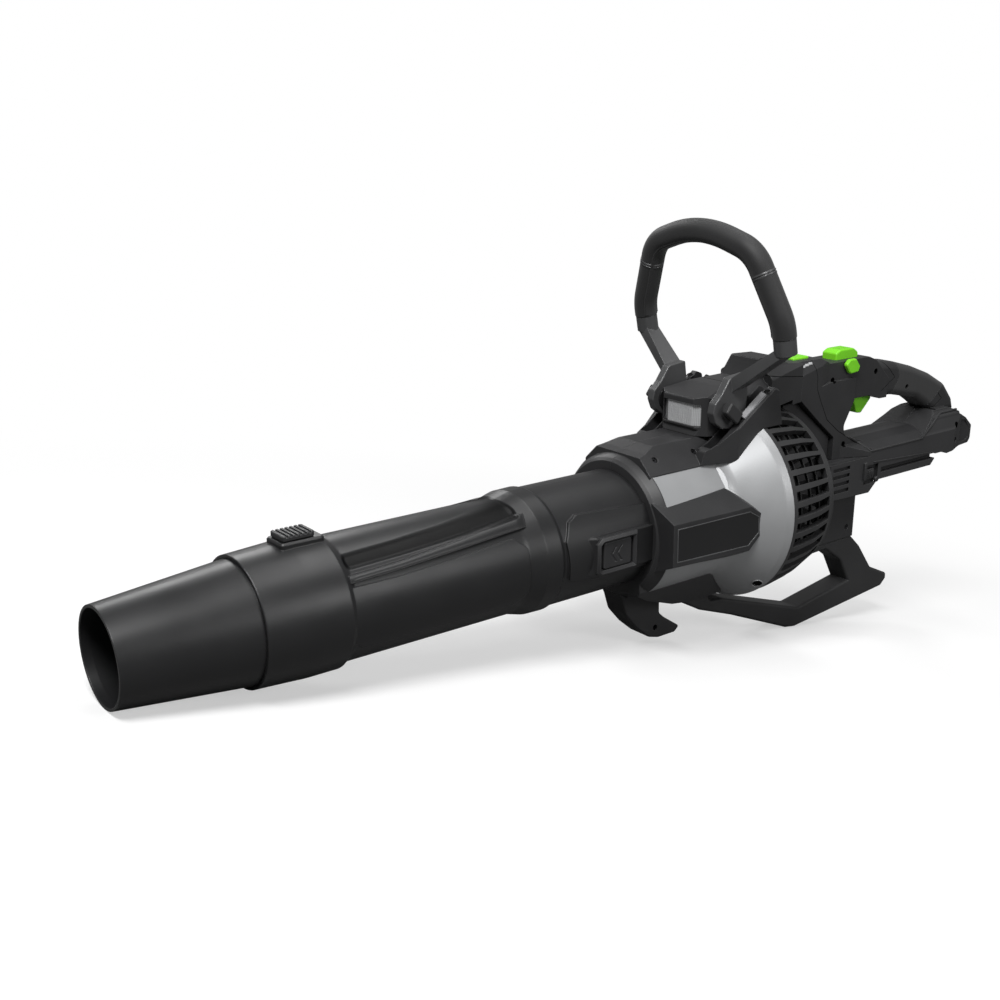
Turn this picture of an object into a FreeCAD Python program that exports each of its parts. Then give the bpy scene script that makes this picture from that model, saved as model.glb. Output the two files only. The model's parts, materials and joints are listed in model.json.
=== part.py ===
"""Handheld battery leaf blower, standing on its nozzle lip and skid.

Everything is drawn in the blower's own axes: X runs forward along the air tube, Y to the
operator's left, Z up, with the origin on the tube axis at the front rim of the collar. At the
end the whole machine is tipped nose down by the angle at which the nozzle lip and the skid
share one floor, and its foot print is centred on the origin. All lengths are millimetres.
"""
import FreeCAD, Part
import math
import os
from FreeCAD import Placement, Rotation, Vector

# Fits and walls
wall = 2.5
seam_gap = 0.2
part_gap = 0.3
seat_gap = 0.15
shaft_gap = 0.03
press_gap = 0.02

# Nozzle
nozzle_length = 113.5
mouth_r = 41.8
mouth_land = 8.0
nozzle_root_r = 53.1
nozzle_sleeve = 88.0
nozzle_travel = 25.0

# Nozzle lock button on the collar
peg_x = -50.0
peg_r = 3.0
lock_travel = 5.0
lock_base_front = -37.0
lock_base_rear = -78.0
lock_base_half = 14.0
lock_base_top = 62.5
lock_cap_height = 5.0
lock_cap_half = 11.5
lock_rib_count = 6

# Blower tube
collar_rim_r = 56.4
collar_r = 59.1
collar_taper_end = -47.0
collar_end = -76.0
tube_front = -83.0
tube_r = 55.2
tube_wall = 3.0
ring_ramp_start = -262.0
ring_front = -280.0
ring_rear = -297.0
ring_r = 60.3
rear_tube_r = 58.3
rear_tube_end = -407.7
spigot_r = 57.0
spigot_end = -424.0
ridge_r = 57.9
panel_r = 56.6
plateau_r = 61.0

# Tube latches
latch_block_y = 62.5
latch_half_height = 19.0
latch_button_front = -343.0
latch_button_rear = -378.0
latch_button_half = 13.0
latch_button_face = 64.5
latch_floor_y = 57.2
latch_button_depth = 4.4
latch_travel = 2.0
leaf_thickness = 0.4
leaf_half_length = 7.5
leaf_half_width = 4.0
leaf_foot = 5.4
leaf_crown = 1.6

# Housing shells and bell
neck_front = -408.0
neck_r = 70.0
bell_front = -421.0
neck_tongue = 16.0
bell_r = 75.0
bell_flare_x = -512.0
seam_x = -564.0
seam_r = 106.0
bell_wall = 4.0
facet_distance = 72.6
facet_angle = 52.0
spine_half = 24.0
spine_top = 82.5
spine_end = -515.0
shoulder_y = 47.0
shoulder_z = 60.0
keel_half = 30.0
keel_shoulder = 47.0
keel_bottom = -93.0
boss_face = 88.0
plate_recess = 1.2
plate_border = 5.0

# Fan, motor and duct
duct_r = 66.5
duct_lip_r = 100.1
blade_gap = 0.7
blade_count = 11
vane_count = 9
hub_r = 27.0
motor_front = -452.0
motor_rear = -508.0
motor_can_wall = 2.9
stator_length = 34.0
stator_bore = 14.5
magnet_gap = 0.6
shaft_r = 4.0
bearing_r = 9.0
bearing_width = 6.0
hub_front = -516.0
hub_rear = -546.0
tail_length = 62.0

# Intake guard
guard_rear = -640.0
guard_front_r = 105.2
guard_rear_r = 93.0
guard_depth = 7.0
guard_ring = 6.0
column_front = guard_rear - 4.3
slat_count = 40
slat_gap_width = 10.6
grille_wall = 4.0
grille_slots = 24

# Console and lamp
console_half = 36.0
console_top = 130.0
visor_front = -500.0
visor_corner = -510.0
lamp_face = -502.0
lamp_half = 16.5
lamp_edge = 26.5
lamp_depth = 9.0
lamp_bottom = 92.5
lamp_top = 115.5

# Bale handle
pivot_x = -521.0
pivot_z = 110.0
bolt_r = 4.0
arm_inner = 38.0
arm_thickness = 9.0
arm_side_gap = 3.5
bale_lean = 12.3
bale_plane_x = -543.0
bale_plane_z = 188.0
bale_leg_y = 95.0
bale_rod_r = 8.6
bale_grip_r = 11.9
bale_sleeve_r = 11.3
bale_grip_bottom = 1.0
bale_leg_bottom = -16.0

# Rear handle
handle_front = -662.0
deck_half = 19.0
web_half = 22.0
grip_half = 17.0
grip_skin = 2.2
tray_half = 37.5
tray_edge = 25.0
tray_crown = 37.5
shell_wall = 3.2

# Controls
trigger_pin_x = -776.0
trigger_pin_z = 97.0
trigger_spring_x = -801.0
switch_front = -733.0
switch_rear = -757.5
trigger_half = 8.0
pin_r = 1.5
pin_half = 12.5
paddle_half = 10.0
paddle_pin_x = -742.0
paddle_pin_z = 129.0
lever_x = -748.0
lever_z = 126.0
lever_stud_r = 3.0
boost_half = 9.0
boost_travel = 2.0

# Battery mount and column
mount_half = 37.5
mount_front = -705.0
mount_rear = -1001.0
mount_bottom = -24.0
rail_bottom = -11.0
rail_rear = -906.0
rail_groove_depth = 6.5
latch_press = 2.5
column_half = 16.0
column_rear = -787.0
column_bottom = -84.0

# Skid and front foot
skid_half = 14.0
skid_corner_x = -687.0
skid_corner_z = -176.0
rest_flat = 16.0
foot_half = 14.5

stand_angle = math.degrees(math.atan2(-skid_corner_z - mouth_r, nozzle_length - skid_corner_x))
far = 400.0


# Drawing helpers

def corner_path(points, place, closed=True):
    """Edges through (a, b) or (a, b, radius) corners, each radius drawn as a tangent arc."""
    flat = [(point[0], point[1], point[2] if len(point) > 2 else 0.0) for point in points]
    count = len(flat)
    legs = []
    for index, (a, b, radius) in enumerate(flat):
        inner = closed or 0 < index < count - 1
        if radius == 0.0 or not inner:
            legs.append(((a, b), None, (a, b)))
            continue
        before = flat[index - 1]
        after = flat[(index + 1) % count]
        in_length = math.hypot(before[0] - a, before[1] - b)
        out_length = math.hypot(after[0] - a, after[1] - b)
        ua, ub = (before[0] - a) / in_length, (before[1] - b) / in_length
        va, vb = (after[0] - a) / out_length, (after[1] - b) / out_length
        half = math.acos(max(-1.0, min(1.0, ua * va + ub * vb))) / 2.0
        reach = radius / math.tan(half)
        mid_a, mid_b = ua + va, ub + vb
        mid_length = math.hypot(mid_a, mid_b)
        depth = radius / math.sin(half) - radius
        mid = (a + mid_a / mid_length * depth, b + mid_b / mid_length * depth)
        legs.append(((a + ua * reach, b + ub * reach), mid, (a + va * reach, b + vb * reach)))
    edges = []
    for index, (start, mid, end) in enumerate(legs):
        if mid:
            edges.append(Part.Arc(place(*start), place(*mid), place(*end)).toShape())
        if index + 1 < count or closed:
            following = legs[(index + 1) % count][0]
            first, last = place(*end), place(*following)
            if first.distanceToPoint(last) > 1e-6:
                edges.append(Part.LineSegment(first, last).toShape())
    return Part.Wire(edges)


def rim_edges(solid, axis, levels):
    """Edges that lie flat at one of the given levels of an axis."""
    found = []
    for edge in solid.Edges:
        box = edge.BoundBox
        low = (box.XMin, box.YMin, box.ZMin)[axis]
        high = (box.XMax, box.YMax, box.ZMax)[axis]
        if high - low < 1e-4 and any(abs(low - level) < 1e-3 for level in levels):
            found.append(edge)
    return found


def slab(points, axis, low, high, edge=0.0, chamfer=0.0):
    """An outline pushed from one level of an axis to another, with eased end edges."""
    places = (
        lambda a, b: Vector(low, a, b),
        lambda a, b: Vector(a, low, b),
        lambda a, b: Vector(a, b, low),
    )
    push = [Vector(high - low, 0, 0), Vector(0, high - low, 0), Vector(0, 0, high - low)][axis]
    solid = Part.Face(corner_path(points, places[axis])).extrude(push)
    if edge:
        solid = solid.makeFillet(edge, rim_edges(solid, axis, (low, high)))
    if chamfer:
        solid = solid.makeChamfer(chamfer, rim_edges(solid, axis, (low, high)))
    return solid


def across(points, half, edge=0.0, chamfer=0.0):
    """A side outline (x, z), the same to both sides of the middle plane."""
    return slab(points, 1, -half, half, edge, chamfer)


def side(points, inner, outer, edge=0.0, chamfer=0.0):
    return slab(points, 1, inner, outer, edge, chamfer)


def front(points, rear, fore, edge=0.0, chamfer=0.0):
    """A front outline (y, z) pushed along the tube."""
    return slab(points, 0, rear, fore, edge, chamfer)


def plan(points, low, high, edge=0.0, chamfer=0.0):
    return slab(points, 2, low, high, edge, chamfer)


def turned(points):
    """A profile of (x, r) corners turned about the tube axis."""
    outline = Part.Face(corner_path(points, lambda x, r: Vector(x, 0, r)))
    return outline.revolve(Vector(0, 0, 0), Vector(1, 0, 0), 360)


def ring(rear, fore, outer, inner):
    return turned([(rear, inner), (fore, inner), (fore, outer), (rear, outer)])


def drum(rear, fore, radius):
    return Part.makeCylinder(radius, fore - rear, Vector(rear, 0, 0), Vector(1, 0, 0))


def cross_rod(x, z, radius, low, high):
    """A rod lying along Y."""
    return Part.makeCylinder(radius, high - low, Vector(x, low, z), Vector(0, 1, 0))


def block(x0, x1, y0, y1, z0, z1):
    low = Vector(min(x0, x1), min(y0, y1), min(z0, z1))
    return Part.makeBox(abs(x1 - x0), abs(y1 - y0), abs(z1 - z0), low)


def mirrored(shape):
    return shape.mirror(Vector(0, 0, 0), Vector(0, 1, 0))


def both(shape):
    return [shape, mirrored(shape)]


def left_of_seam(shape):
    return shape.common(block(-far * 4, far, seam_gap / 2, far, -far, far))


def fused(shapes):
    return shapes[0].fuse(shapes[1:]).removeSplitter()


def turned_about_tube(shape, degrees):
    copy = shape.copy()
    copy.rotate(Vector(0, 0, 0), Vector(1, 0, 0), degrees)
    return copy


def tilted(shape, x, z, degrees):
    """Turned about an axis along Y through (x, z); positive drops the front."""
    copy = shape.copy()
    copy.rotate(Vector(x, 0, z), Vector(0, 1, 0), degrees)
    return copy


def coil(start, direction, length, radius, wire, turns):
    """An open helical spring from start along direction."""
    height = length - 2 * wire
    path = Part.makeHelix(height / turns, height, radius)
    profile = Part.Wire(Part.makeCircle(wire, Vector(radius, 0, 0), Vector(0, 1, 0)))
    spring = Part.Wire(path).makePipeShell([profile], True, True)
    spring.Placement = Placement(start + direction * wire, Rotation(Vector(0, 0, 1), direction))
    return spring


def screw(head_at, direction, length, head_r=3.2, head_height=2.4, shank_r=1.6):
    """A pan head screw with a six lobe style socket; the head's top lies at head_at."""
    under = head_at + direction * head_height
    head = Part.makeCylinder(head_r, head_height, head_at, direction)
    shank = Part.makeCylinder(shank_r, length, under, direction)
    socket = Part.makeCylinder(head_r * 0.42, head_height * 0.6, head_at, direction)
    return head.fuse(shank).cut(socket)


def screw_hole(head_at, direction, length, head_r=3.2, head_height=2.4, shank_r=1.6, well=30.0):
    """Clearance for a screw, with its access well in front of the head."""
    under = head_at + direction * head_height
    access = Part.makeCylinder(head_r + seat_gap * 2, head_height + well, under, -direction)
    return access.fuse(Part.makeCylinder(shank_r + press_gap, length + 1.0, under, direction))


# Nozzle and tube

def nozzle():
    inner_root = nozzle_root_r - wall
    inner_mouth = mouth_r - wall
    shell = turned([
        (-nozzle_sleeve, inner_root),
        (0, inner_root, 120),
        (nozzle_length - mouth_land, inner_mouth),
        (nozzle_length, inner_mouth),
        (nozzle_length, mouth_r),
        (0, nozzle_root_r),
        (-nozzle_sleeve, nozzle_root_r),
    ])
    slot_front = peg_x + peg_r + 0.5
    slot_rear = peg_x - nozzle_travel - lock_travel - peg_r - 0.5
    slot = block(slot_rear, slot_front, -peg_r - part_gap, peg_r + part_gap, inner_root - 5, far)
    return shell.cut(slot)


def lock_button():
    """Ribbed slider with the peg that reaches through the collar into the nozzle's slot."""
    low = lock_base_top + part_gap
    high = low + lock_cap_height
    fore = lock_base_front - 3.0
    rear = lock_base_rear + 3.0 + lock_travel
    cap = plan([(rear, -lock_cap_half, 3), (fore, -lock_cap_half, 3),
                (fore, lock_cap_half, 3), (rear, lock_cap_half, 3)], low, high, chamfer=0.8)
    pitch = (fore - rear) / (lock_rib_count + 1)
    grooves = [block(rear + pitch * (n + 1) - 1.1, rear + pitch * (n + 1) + 1.1, -far, far,
                     high - 1.6, far) for n in range(lock_rib_count)]
    peg_bottom = nozzle_root_r - wall + 0.4
    peg = Part.makeCylinder(peg_r, low + 1 - peg_bottom, Vector(peg_x, 0, peg_bottom), Vector(0, 0, 1))
    return fused([cap.cut(Part.makeCompound(grooves)), peg])


def lock_spring_room():
    """Start, length and middle height of the pocket behind the peg."""
    rear = lock_base_rear + 3.0
    return rear, peg_x - peg_r - rear, lock_base_top - 3.4


def lock_spring():
    rear, length, height = lock_spring_room()
    return coil(Vector(rear + 0.2, 0, height), Vector(1, 0, 0), length - 0.4, 1.7, 0.35, 9)


def nozzle_bore_r():
    return nozzle_root_r + part_gap


def ridge(inner, outer, points):
    """A raised strip on both flanks of the tube, drawn in side view."""
    strip = side(points, 15, 80).common(ring(-430, -60, outer, inner))
    return both(strip)


def latch_pocket():
    pocket = block(latch_button_front + part_gap, latch_button_rear - part_gap, latch_floor_y, far,
                   -latch_button_half - part_gap, latch_button_half + part_gap)
    return both(pocket)


def blower_tube():
    bore = nozzle_bore_r()
    tube_inner = tube_r - tube_wall
    rear_inner = spigot_r - tube_wall
    body = turned([
        (0, bore), (0, collar_rim_r, 0.8), (collar_taper_end, collar_r, 60), (collar_end, collar_r),
        (tube_front, tube_r, 6), (ring_ramp_start, tube_r, 20), (ring_front, ring_r - 0.4, 3),
        (ring_rear, ring_r, 1.5), (ring_rear - 4, rear_tube_r, 2), (rear_tube_end, rear_tube_r),
        (rear_tube_end, spigot_r), (spigot_end, spigot_r), (spigot_end, rear_inner),
        (ring_front, rear_inner, 20), (ring_ramp_start, tube_inner, 20),
        (-nozzle_sleeve - 3, tube_inner), (-nozzle_sleeve - 1, bore),
    ])
    half = lock_base_half
    base = plan([(lock_base_rear, -half, 4), (lock_base_front, -half, 4),
                 (lock_base_front, half, 4), (lock_base_rear, half, 4)],
                bore + 1.5, lock_base_top, chamfer=1.5)
    core = tube_r - 1.0
    rim = rear_tube_r - 1.0
    ridges = ridge(core, ridge_r, [(-80, 35), (-131, 36.6), (-196, 41.3), (-272, 48.3), (-267, 39),
                                   (-192, 34.7), (-128, 31.3), (-80, 29.7)])
    panels = ridge(core, panel_r, [(-78, 26), (-126, 26), (-189, 28.5), (-250, 32.5, 3), (-262, 22),
                                   (-262, -20), (-250, -30, 3), (-92, -30, 3), (-78, -20)])
    plateaus = ridge(rim, plateau_r, [(-303, 20), (-312, 35.4), (-324, 40), (rear_tube_end, 36),
                                      (rear_tube_end, -24), (-339, -24), (-307, -17)])
    latch_seat = both(plan([(rear_tube_end, 50), (-326, 50), (-326, 57), (-336, latch_block_y, 2),
                            (rear_tube_end, latch_block_y)], -latch_half_height, latch_half_height,
                           chamfer=1.5))
    inside = drum(spigot_end - 1, ring_front - 6, rear_inner)
    body = fused([body, base] + ridges + panels + plateaus + [s.cut(inside) for s in latch_seat])
    slot_half = peg_r + part_gap
    peg_slot = block(peg_x - peg_r - lock_travel - 0.5, peg_x + peg_r + 0.5, -slot_half, slot_half,
                     40, far)
    rear, length, height = lock_spring_room()
    pocket = Part.makeCylinder(2.3, length + 4, Vector(rear, 0, height), Vector(1, 0, 0))
    return body.cut([peg_slot, pocket] + latch_pocket())


def latch_button():
    """Left latch button: pressed inwards to free the tube."""
    low = latch_button_face - latch_button_depth
    cap = side([(latch_button_rear, -latch_button_half, 2.5), (latch_button_front, -latch_button_half, 2.5),
                (latch_button_front, latch_button_half, 2.5), (latch_button_rear, latch_button_half, 2.5)],
               low, latch_button_face)
    cap = cap.makeChamfer(0.8, rim_edges(cap, 1, (latch_button_face,)))
    middle = (latch_button_front + latch_button_rear) / 2
    arrows = []
    for shift in (-3.5, 3.5):
        x = middle + shift
        arrows.append(side([(x + 3, 0), (x - 3, 8), (x - 0.2, 8), (x + 5.8, 0), (x - 0.2, -8), (x - 3, -8)],
                           latch_button_face - 0.6, latch_button_face + 1))
    return cap.cut(arrows)


def latch_spring():
    """Left bowed leaf spring between the pocket's floor and the latch."""
    middle = (latch_button_front + latch_button_rear) / 2
    low = latch_floor_y + press_gap
    high = latch_button_face - latch_button_depth - press_gap
    under = high - leaf_thickness
    foot_top = low + leaf_thickness
    outline = [(-leaf_half_length, low), (-leaf_foot, low, 1), (-leaf_crown, under, 1),
               (leaf_crown, under, 1), (leaf_foot, low, 1), (leaf_half_length, low),
               (leaf_half_length, foot_top), (leaf_foot, foot_top, 1), (leaf_crown, high, 1),
               (-leaf_crown, high, 1), (-leaf_foot, foot_top, 1), (-leaf_half_length, foot_top)]
    return plan([(middle + spot[0],) + spot[1:] for spot in outline], -leaf_half_width, leaf_half_width)


def tube_seal():
    """Soft ring between the spigot's end and the neck's shoulder."""
    return ring(spigot_end - 2.6, spigot_end - seat_gap, spigot_r - 0.2, spigot_r - tube_wall + 0.3)


# Housing and bell

def bell_profile(offset, front_x):
    """Outer line of the bell, moved outwards by offset, from front_x to the seam."""
    return [(front_x, bell_r + offset), (bell_flare_x, bell_r + offset, 26),
            (seam_x + 8, seam_r - 3.2 + offset, 10), (seam_x, seam_r + offset)]


def bell_envelope(offset):
    """Solid inside the bell's outer line, for cutting what sits on it."""
    fore = bell_front + offset
    return turned([(fore, 0)] + bell_profile(offset, fore)
                  + [(column_front, seam_r + offset), (column_front, 0)])


def facet_cutter():
    """Planes that flatten the bell's shoulders to both sides of the spine."""
    low, high = facet_distance, facet_distance + 60
    cutter = across([(bell_front + 30, low), (bell_flare_x + 6, low), (bell_flare_x - 18, low + 17.5),
                     (bell_flare_x - 18, high), (bell_front + 30, high)], 60)
    return [turned_about_tube(cutter, -facet_angle), turned_about_tube(cutter, facet_angle)]


def bell():
    outer = bell_profile(0, bell_front)
    inner = bell_profile(-bell_wall, bell_front)
    shell = turned(outer + list(reversed(inner)))
    holes = [screw_hole(at, way, housing_screw_length, well=0.0) for at, way in housing_screw_places()]
    return left_of_seam(shell.cut(facet_cutter() + holes))


def neck_envelope(offset):
    """Solid inside the outer line of the neck and of the bell's straight part."""
    return turned([(neck_front + offset, 0), (neck_front + offset, neck_r - 3),
                   (neck_front - 3, neck_r + offset), (bell_front, bell_r + 1 + offset),
                   (bell_flare_x, bell_r + offset), (bell_flare_x, 0)])


def neck():
    return turned([
        (neck_front - 3, neck_r), (neck_front, neck_r - 3), (neck_front, spigot_r + seat_gap),
        (spigot_end - 3, spigot_r + seat_gap), (spigot_end - 3, spigot_r - 5),
        (spigot_end - 6, spigot_r - 5), (spigot_end - 6, duct_r + wall + seat_gap),
        (bell_front - neck_tongue, duct_r + wall + seat_gap),
        (bell_front - neck_tongue, bell_r - bell_wall - seat_gap),
        (bell_front + seat_gap, bell_r - bell_wall - seat_gap), (bell_front + seat_gap, bell_r + 1, 1),
    ])


def spine():
    """Faceted ridge along the top, up to the console."""
    body = front([(0, spine_top), (spine_half, spine_top, 3), (shoulder_y, shoulder_z, 3),
                  (shoulder_y - 4, shoulder_z - 14), (0, shoulder_z - 14)], spine_end, neck_front)
    body = body.fuse(mirrored(body))
    nose = across([(neck_front + 1, 40), (neck_front + 1, 120), (-443, 120), (-443, spine_top + 0.5),
                   (-426, bell_r + 2.5), (-417, bell_r + 0.5), (-416, 40)], 80)
    return body.cut(nose)


def keel():
    """Underside of the housing, which carries the front foot and the skid."""
    side_view = across([(neck_front, -45), (neck_front, -62), (-424, -71), (-469, -88),
                        (-498, keel_bottom), (-545, keel_bottom), (-514, -45)], keel_shoulder + 1)
    section = front([(-keel_shoulder + 1, -45), (-keel_shoulder, -58), (-keel_half, keel_bottom - 0.5),
                     (keel_half, keel_bottom - 0.5), (keel_shoulder, -58), (keel_shoulder - 1, -45)],
                    -560, neck_front)
    return side_view.common(section)


def badge_outline(inset=0.0):
    corners = [(-410, 23), (-519, 21), (-534, 11), (-535, -11), (-519, -25), (-411, -20)]
    middle_x = sum(x for x, z in corners) / len(corners)
    middle_z = sum(z for x, z in corners) / len(corners)
    half_length = max(abs(x - middle_x) for x, z in corners)
    half_height = max(abs(z - middle_z) for x, z in corners)
    along = 1 - inset / half_length
    up = 1 - inset / half_height
    return [(middle_x + (x - middle_x) * along, middle_z + (z - middle_z) * up) for x, z in corners]


def badge_boss():
    """Left badge boss: a low frustum on the bell's flank with a shallow tray for its plate."""
    foot = [(-408.5, 38), (-498, 43), (-560, 18), (-562, -25), (-532, -42), (-411, -33)]
    lower = corner_path(foot, lambda x, z: Vector(x, 58, z))
    upper = corner_path(badge_outline(), lambda x, z: Vector(x, boss_face, z))
    body = Part.makeLoft([lower, upper], True, True)
    tray = side(badge_outline(plate_border), boss_face - plate_recess, boss_face + 5)
    return body.cut(tray)


def badge_plate():
    outline = badge_outline(plate_border + seat_gap)
    return side(outline, boss_face - plate_recess + press_gap, boss_face - 0.1).cut(bell_envelope(seat_gap))


band_inner = arm_inner + arm_thickness + arm_side_gap
band_outer = band_inner + 8.0
band_low = (-505.0, 80.0)
band_high = (-578.0, 129.0)


def band():
    """Left shoulder wall that climbs from the spine to the console beside the bale's arm."""
    wall_side = side([(-486, 60), (-489, 74, 4), band_low, band_high, (-586, 126, 4), (-600, 60)],
                     band_inner - 14.0, band_outer, chamfer=1.5)
    return wall_side.cut(plan([(-470, shoulder_y - 3), (-470, 90), (-528, 90), (-528, band_outer)], 0, 200))


def arm_room():
    """Space that the bale's arm sweeps beside the console."""
    reach = 42.0
    sweep = cross_rod(pivot_x, pivot_z, reach, arm_inner - 1.0, band_inner)
    above = side([(-470, 160), (-470, 100), (-486, 92), (-560, 100), (-600, 124), (-600, 160)],
                 arm_inner - 1.0, band_inner)
    return sweep.fuse(above)


def strip_frame():
    """Middle, slope and length of the flat on the shoulder wall."""
    run = band_high[0] - band_low[0]
    rise = band_high[1] - band_low[1]
    return math.degrees(math.atan2(rise, -run))


def shoulder_strip():
    """Left steel strip lying on the slope of the shoulder wall."""
    low_end, high_end = 0.44, 0.86
    start_x = band_low[0] + (band_high[0] - band_low[0]) * low_end
    start_z = band_low[1] + (band_high[1] - band_low[1]) * low_end
    length = math.hypot(band_high[0] - band_low[0], band_high[1] - band_low[1]) * (high_end - low_end)
    strip = block(start_x - length, start_x, band_inner + 0.4, band_outer - 1.6,
                  start_z + 0.05, start_z + 1.6)
    return tilted(strip, start_x, start_z, strip_frame())


def housing_screw_places():
    """Heads and directions of the left housing screws, on the spine's shoulder."""
    tilt = math.atan2(spine_top - shoulder_z, shoulder_y - spine_half)
    outward = Vector(0, math.sin(tilt), math.cos(tilt))
    places = []
    for x in (-434.0, -488.0):
        surface = Vector(x, 35.0, spine_top - (35.0 - spine_half) * math.tan(tilt))
        places.append((surface - outward * 1.5, -outward))
    return places


housing_screw_length = 7.0


def housing():
    """Left dark shell: neck, spine, keel, badge boss and shoulder wall."""
    on_bell = fused([spine(), keel(), badge_boss(), band()])
    spigot = drum(bell_front, neck_front + 10, spigot_r + seat_gap)
    on_bell = on_bell.cut([bell_envelope(seat_gap), spigot])
    body = left_of_seam(fused([neck(), on_bell]))
    holes = [screw_hole(at, way, housing_screw_length, well=12.0) for at, way in housing_screw_places()]
    body = body.cut([arm_room(), console_room()] + holes)
    return max(body.Solids, key=lambda solid: solid.Volume)


def housing_screws():
    screws = []
    for at, way in housing_screw_places():
        screws += both(screw(at, way, housing_screw_length))
    return Part.makeCompound(screws)


# Fan, motor and duct

def fan_duct():
    """Air duct with its inlet flare, guide vanes and the cup that holds the motor."""
    throat = spigot_r - tube_wall
    flare_end = seam_x + 2.0
    front_x = spigot_end - 6.0 - seat_gap
    shell = turned([
        (front_x, duct_r + wall), (hub_rear + 2, duct_r + wall, 20), (flare_end + 2, 99),
        (flare_end + 2, duct_lip_r), (flare_end, duct_lip_r), (flare_end, 97), (hub_rear + 1, duct_r, 22),
        (motor_front, duct_r, 30), (front_x, throat + 1),
    ])
    cup = ring(motor_rear, motor_front, hub_r, hub_r - motor_can_wall)
    front_wall = ring(motor_front, motor_front + 4, hub_r, bearing_r + press_gap)
    vanes = []
    for index in range(vane_count):
        vane = block(motor_rear + 4, motor_front + 2, -1.3, 1.3, hub_r - 1, duct_r + 1)
        vane.rotate(Vector((motor_front + motor_rear) / 2, 0, 45), Vector(0, 0, 1), 9)
        vanes.append(turned_about_tube(vane, 360.0 / vane_count * index))
    bore = drum(motor_rear - 1, motor_front, hub_r - motor_can_wall)
    return fused([shell, cup, front_wall] + vanes).cut(bore)


def tail_cone():
    fore = motor_front + 4 + press_gap
    return turned([(fore, 0), (fore, hub_r), (fore + 6, hub_r, 20), (fore + tail_length, 8, 7),
                   (fore + tail_length + 2, 0)])


def motor_end_cap():
    body = ring(motor_rear - 5, motor_rear - press_gap, hub_r - 0.6, bearing_r + press_gap)
    spigot = ring(motor_rear - 1, motor_rear + 3, hub_r - motor_can_wall - press_gap,
                  hub_r - motor_can_wall - 3)
    holes = [screw_hole(at, way, 6.0, 2.2, 1.6, 1.1, 3.0) for at, way in end_cap_screw_places()]
    return fused([body, spigot]).cut(holes)


def end_cap_screw_places():
    places = []
    for index in range(3):
        angle = math.radians(60 + 120 * index)
        radius = 17.5
        at = Vector(motor_rear - 5.6, radius * math.sin(angle), radius * math.cos(angle))
        places.append((at, Vector(1, 0, 0)))
    return places


def end_cap_screws():
    return Part.makeCompound([screw(at, way, 3.2, 2.2, 1.6, 1.1) for at, way in end_cap_screw_places()])


def stator_span():
    middle = (motor_front + motor_rear) / 2
    return middle - stator_length / 2, middle + stator_length / 2


def motor_stator():
    rear, fore = stator_span()
    outer = hub_r - motor_can_wall - press_gap
    core = ring(rear, fore, outer, outer - 3.4)
    teeth = []
    for index in range(12):
        tooth = block(rear, fore, -1.5, 1.5, stator_bore + 1, outer - 3)
        shoe = block(rear, fore, -3.0, 3.0, stator_bore, stator_bore + 1.4)
        winding = block(rear - 2.5, fore + 2.5, -2.4, 2.4, stator_bore + 2, outer - 4)
        teeth += [turned_about_tube(piece, 30.0 * index) for piece in (tooth, shoe, winding)]
    return fused([core] + teeth).cut(drum(rear - 5, fore + 5, stator_bore))


def motor_magnet():
    rear, fore = stator_span()
    return ring(rear, fore, stator_bore - magnet_gap, shaft_r + press_gap)


def motor_shaft():
    rear = hub_rear - 12.0
    fore = motor_front + 4.0 - 0.5
    return drum(rear, fore, shaft_r)


def bearing_front():
    return ring(motor_front + 0.3, motor_front + 0.3 + 3.6, bearing_r, shaft_r + shaft_gap)


def bearing_rear():
    return ring(motor_rear - 4.9, motor_rear - 0.4, bearing_r, shaft_r + shaft_gap)


def fan_rotor():
    """Axial fan: a hub with a closed front face and pitched blades."""
    hub = turned([(hub_front, shaft_r + press_gap), (hub_front, hub_r - 1, 2), (hub_rear, hub_r - 1, 8),
                  (hub_rear, shaft_r + press_gap)])
    tip = duct_r - blade_gap
    limit = ring(hub_rear + 2, hub_front - 2, tip, hub_r - 3)
    blades = []
    for index in range(blade_count):
        root = corner_path([(-13, -1.4), (0, 2.6), (13, -0.4), (13, -2.0), (0, 0.6), (-13, -3.0)],
                           lambda a, b: Vector(a, b, 0))
        middle = (hub_front + hub_rear) / 2
        sections = []
        for height, pitch in ((hub_r - 2.5, 52.0), (tip + 3, 26.0)):
            section = root.copy()
            section.rotate(Vector(0, 0, 0), Vector(0, 0, 1), 90 - pitch)
            section.translate(Vector(middle, 0, height))
            sections.append(section)
        blade = Part.makeLoft(sections, True, True).common(limit)
        blades.append(turned_about_tube(blade, 360.0 / blade_count * index))
    return fused([hub] + blades)


def fan_nut():
    rear = hub_rear - 7.0
    fore = hub_rear - press_gap
    corners = [(7.5 * math.cos(math.radians(60 * n)), 7.5 * math.sin(math.radians(60 * n))) for n in range(6)]
    return front(corners, rear, fore, chamfer=0.5).cut(drum(rear - 1, fore + 1, shaft_r + press_gap))


def fan_spinner():
    """Dome over the fan nut, clipped to the hub's rear face."""
    rear = hub_rear - press_gap
    return turned([(rear, hub_r - 7), (rear, 11), (rear - 14, 11, 4), (rear - 14, 0), (rear - 17, 0),
                   (rear - 17, 12, 10), (rear - 4, hub_r - 4.6, 5)])


# Intake guard

def guard_outer(offset=0.0):
    fore = seam_x - part_gap
    return [(guard_rear, guard_rear_r + offset), (guard_rear + 30, guard_rear_r + 8.5 + offset, 60),
            (fore - 14, guard_front_r + offset, 60), (fore, guard_front_r + offset)]


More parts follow.
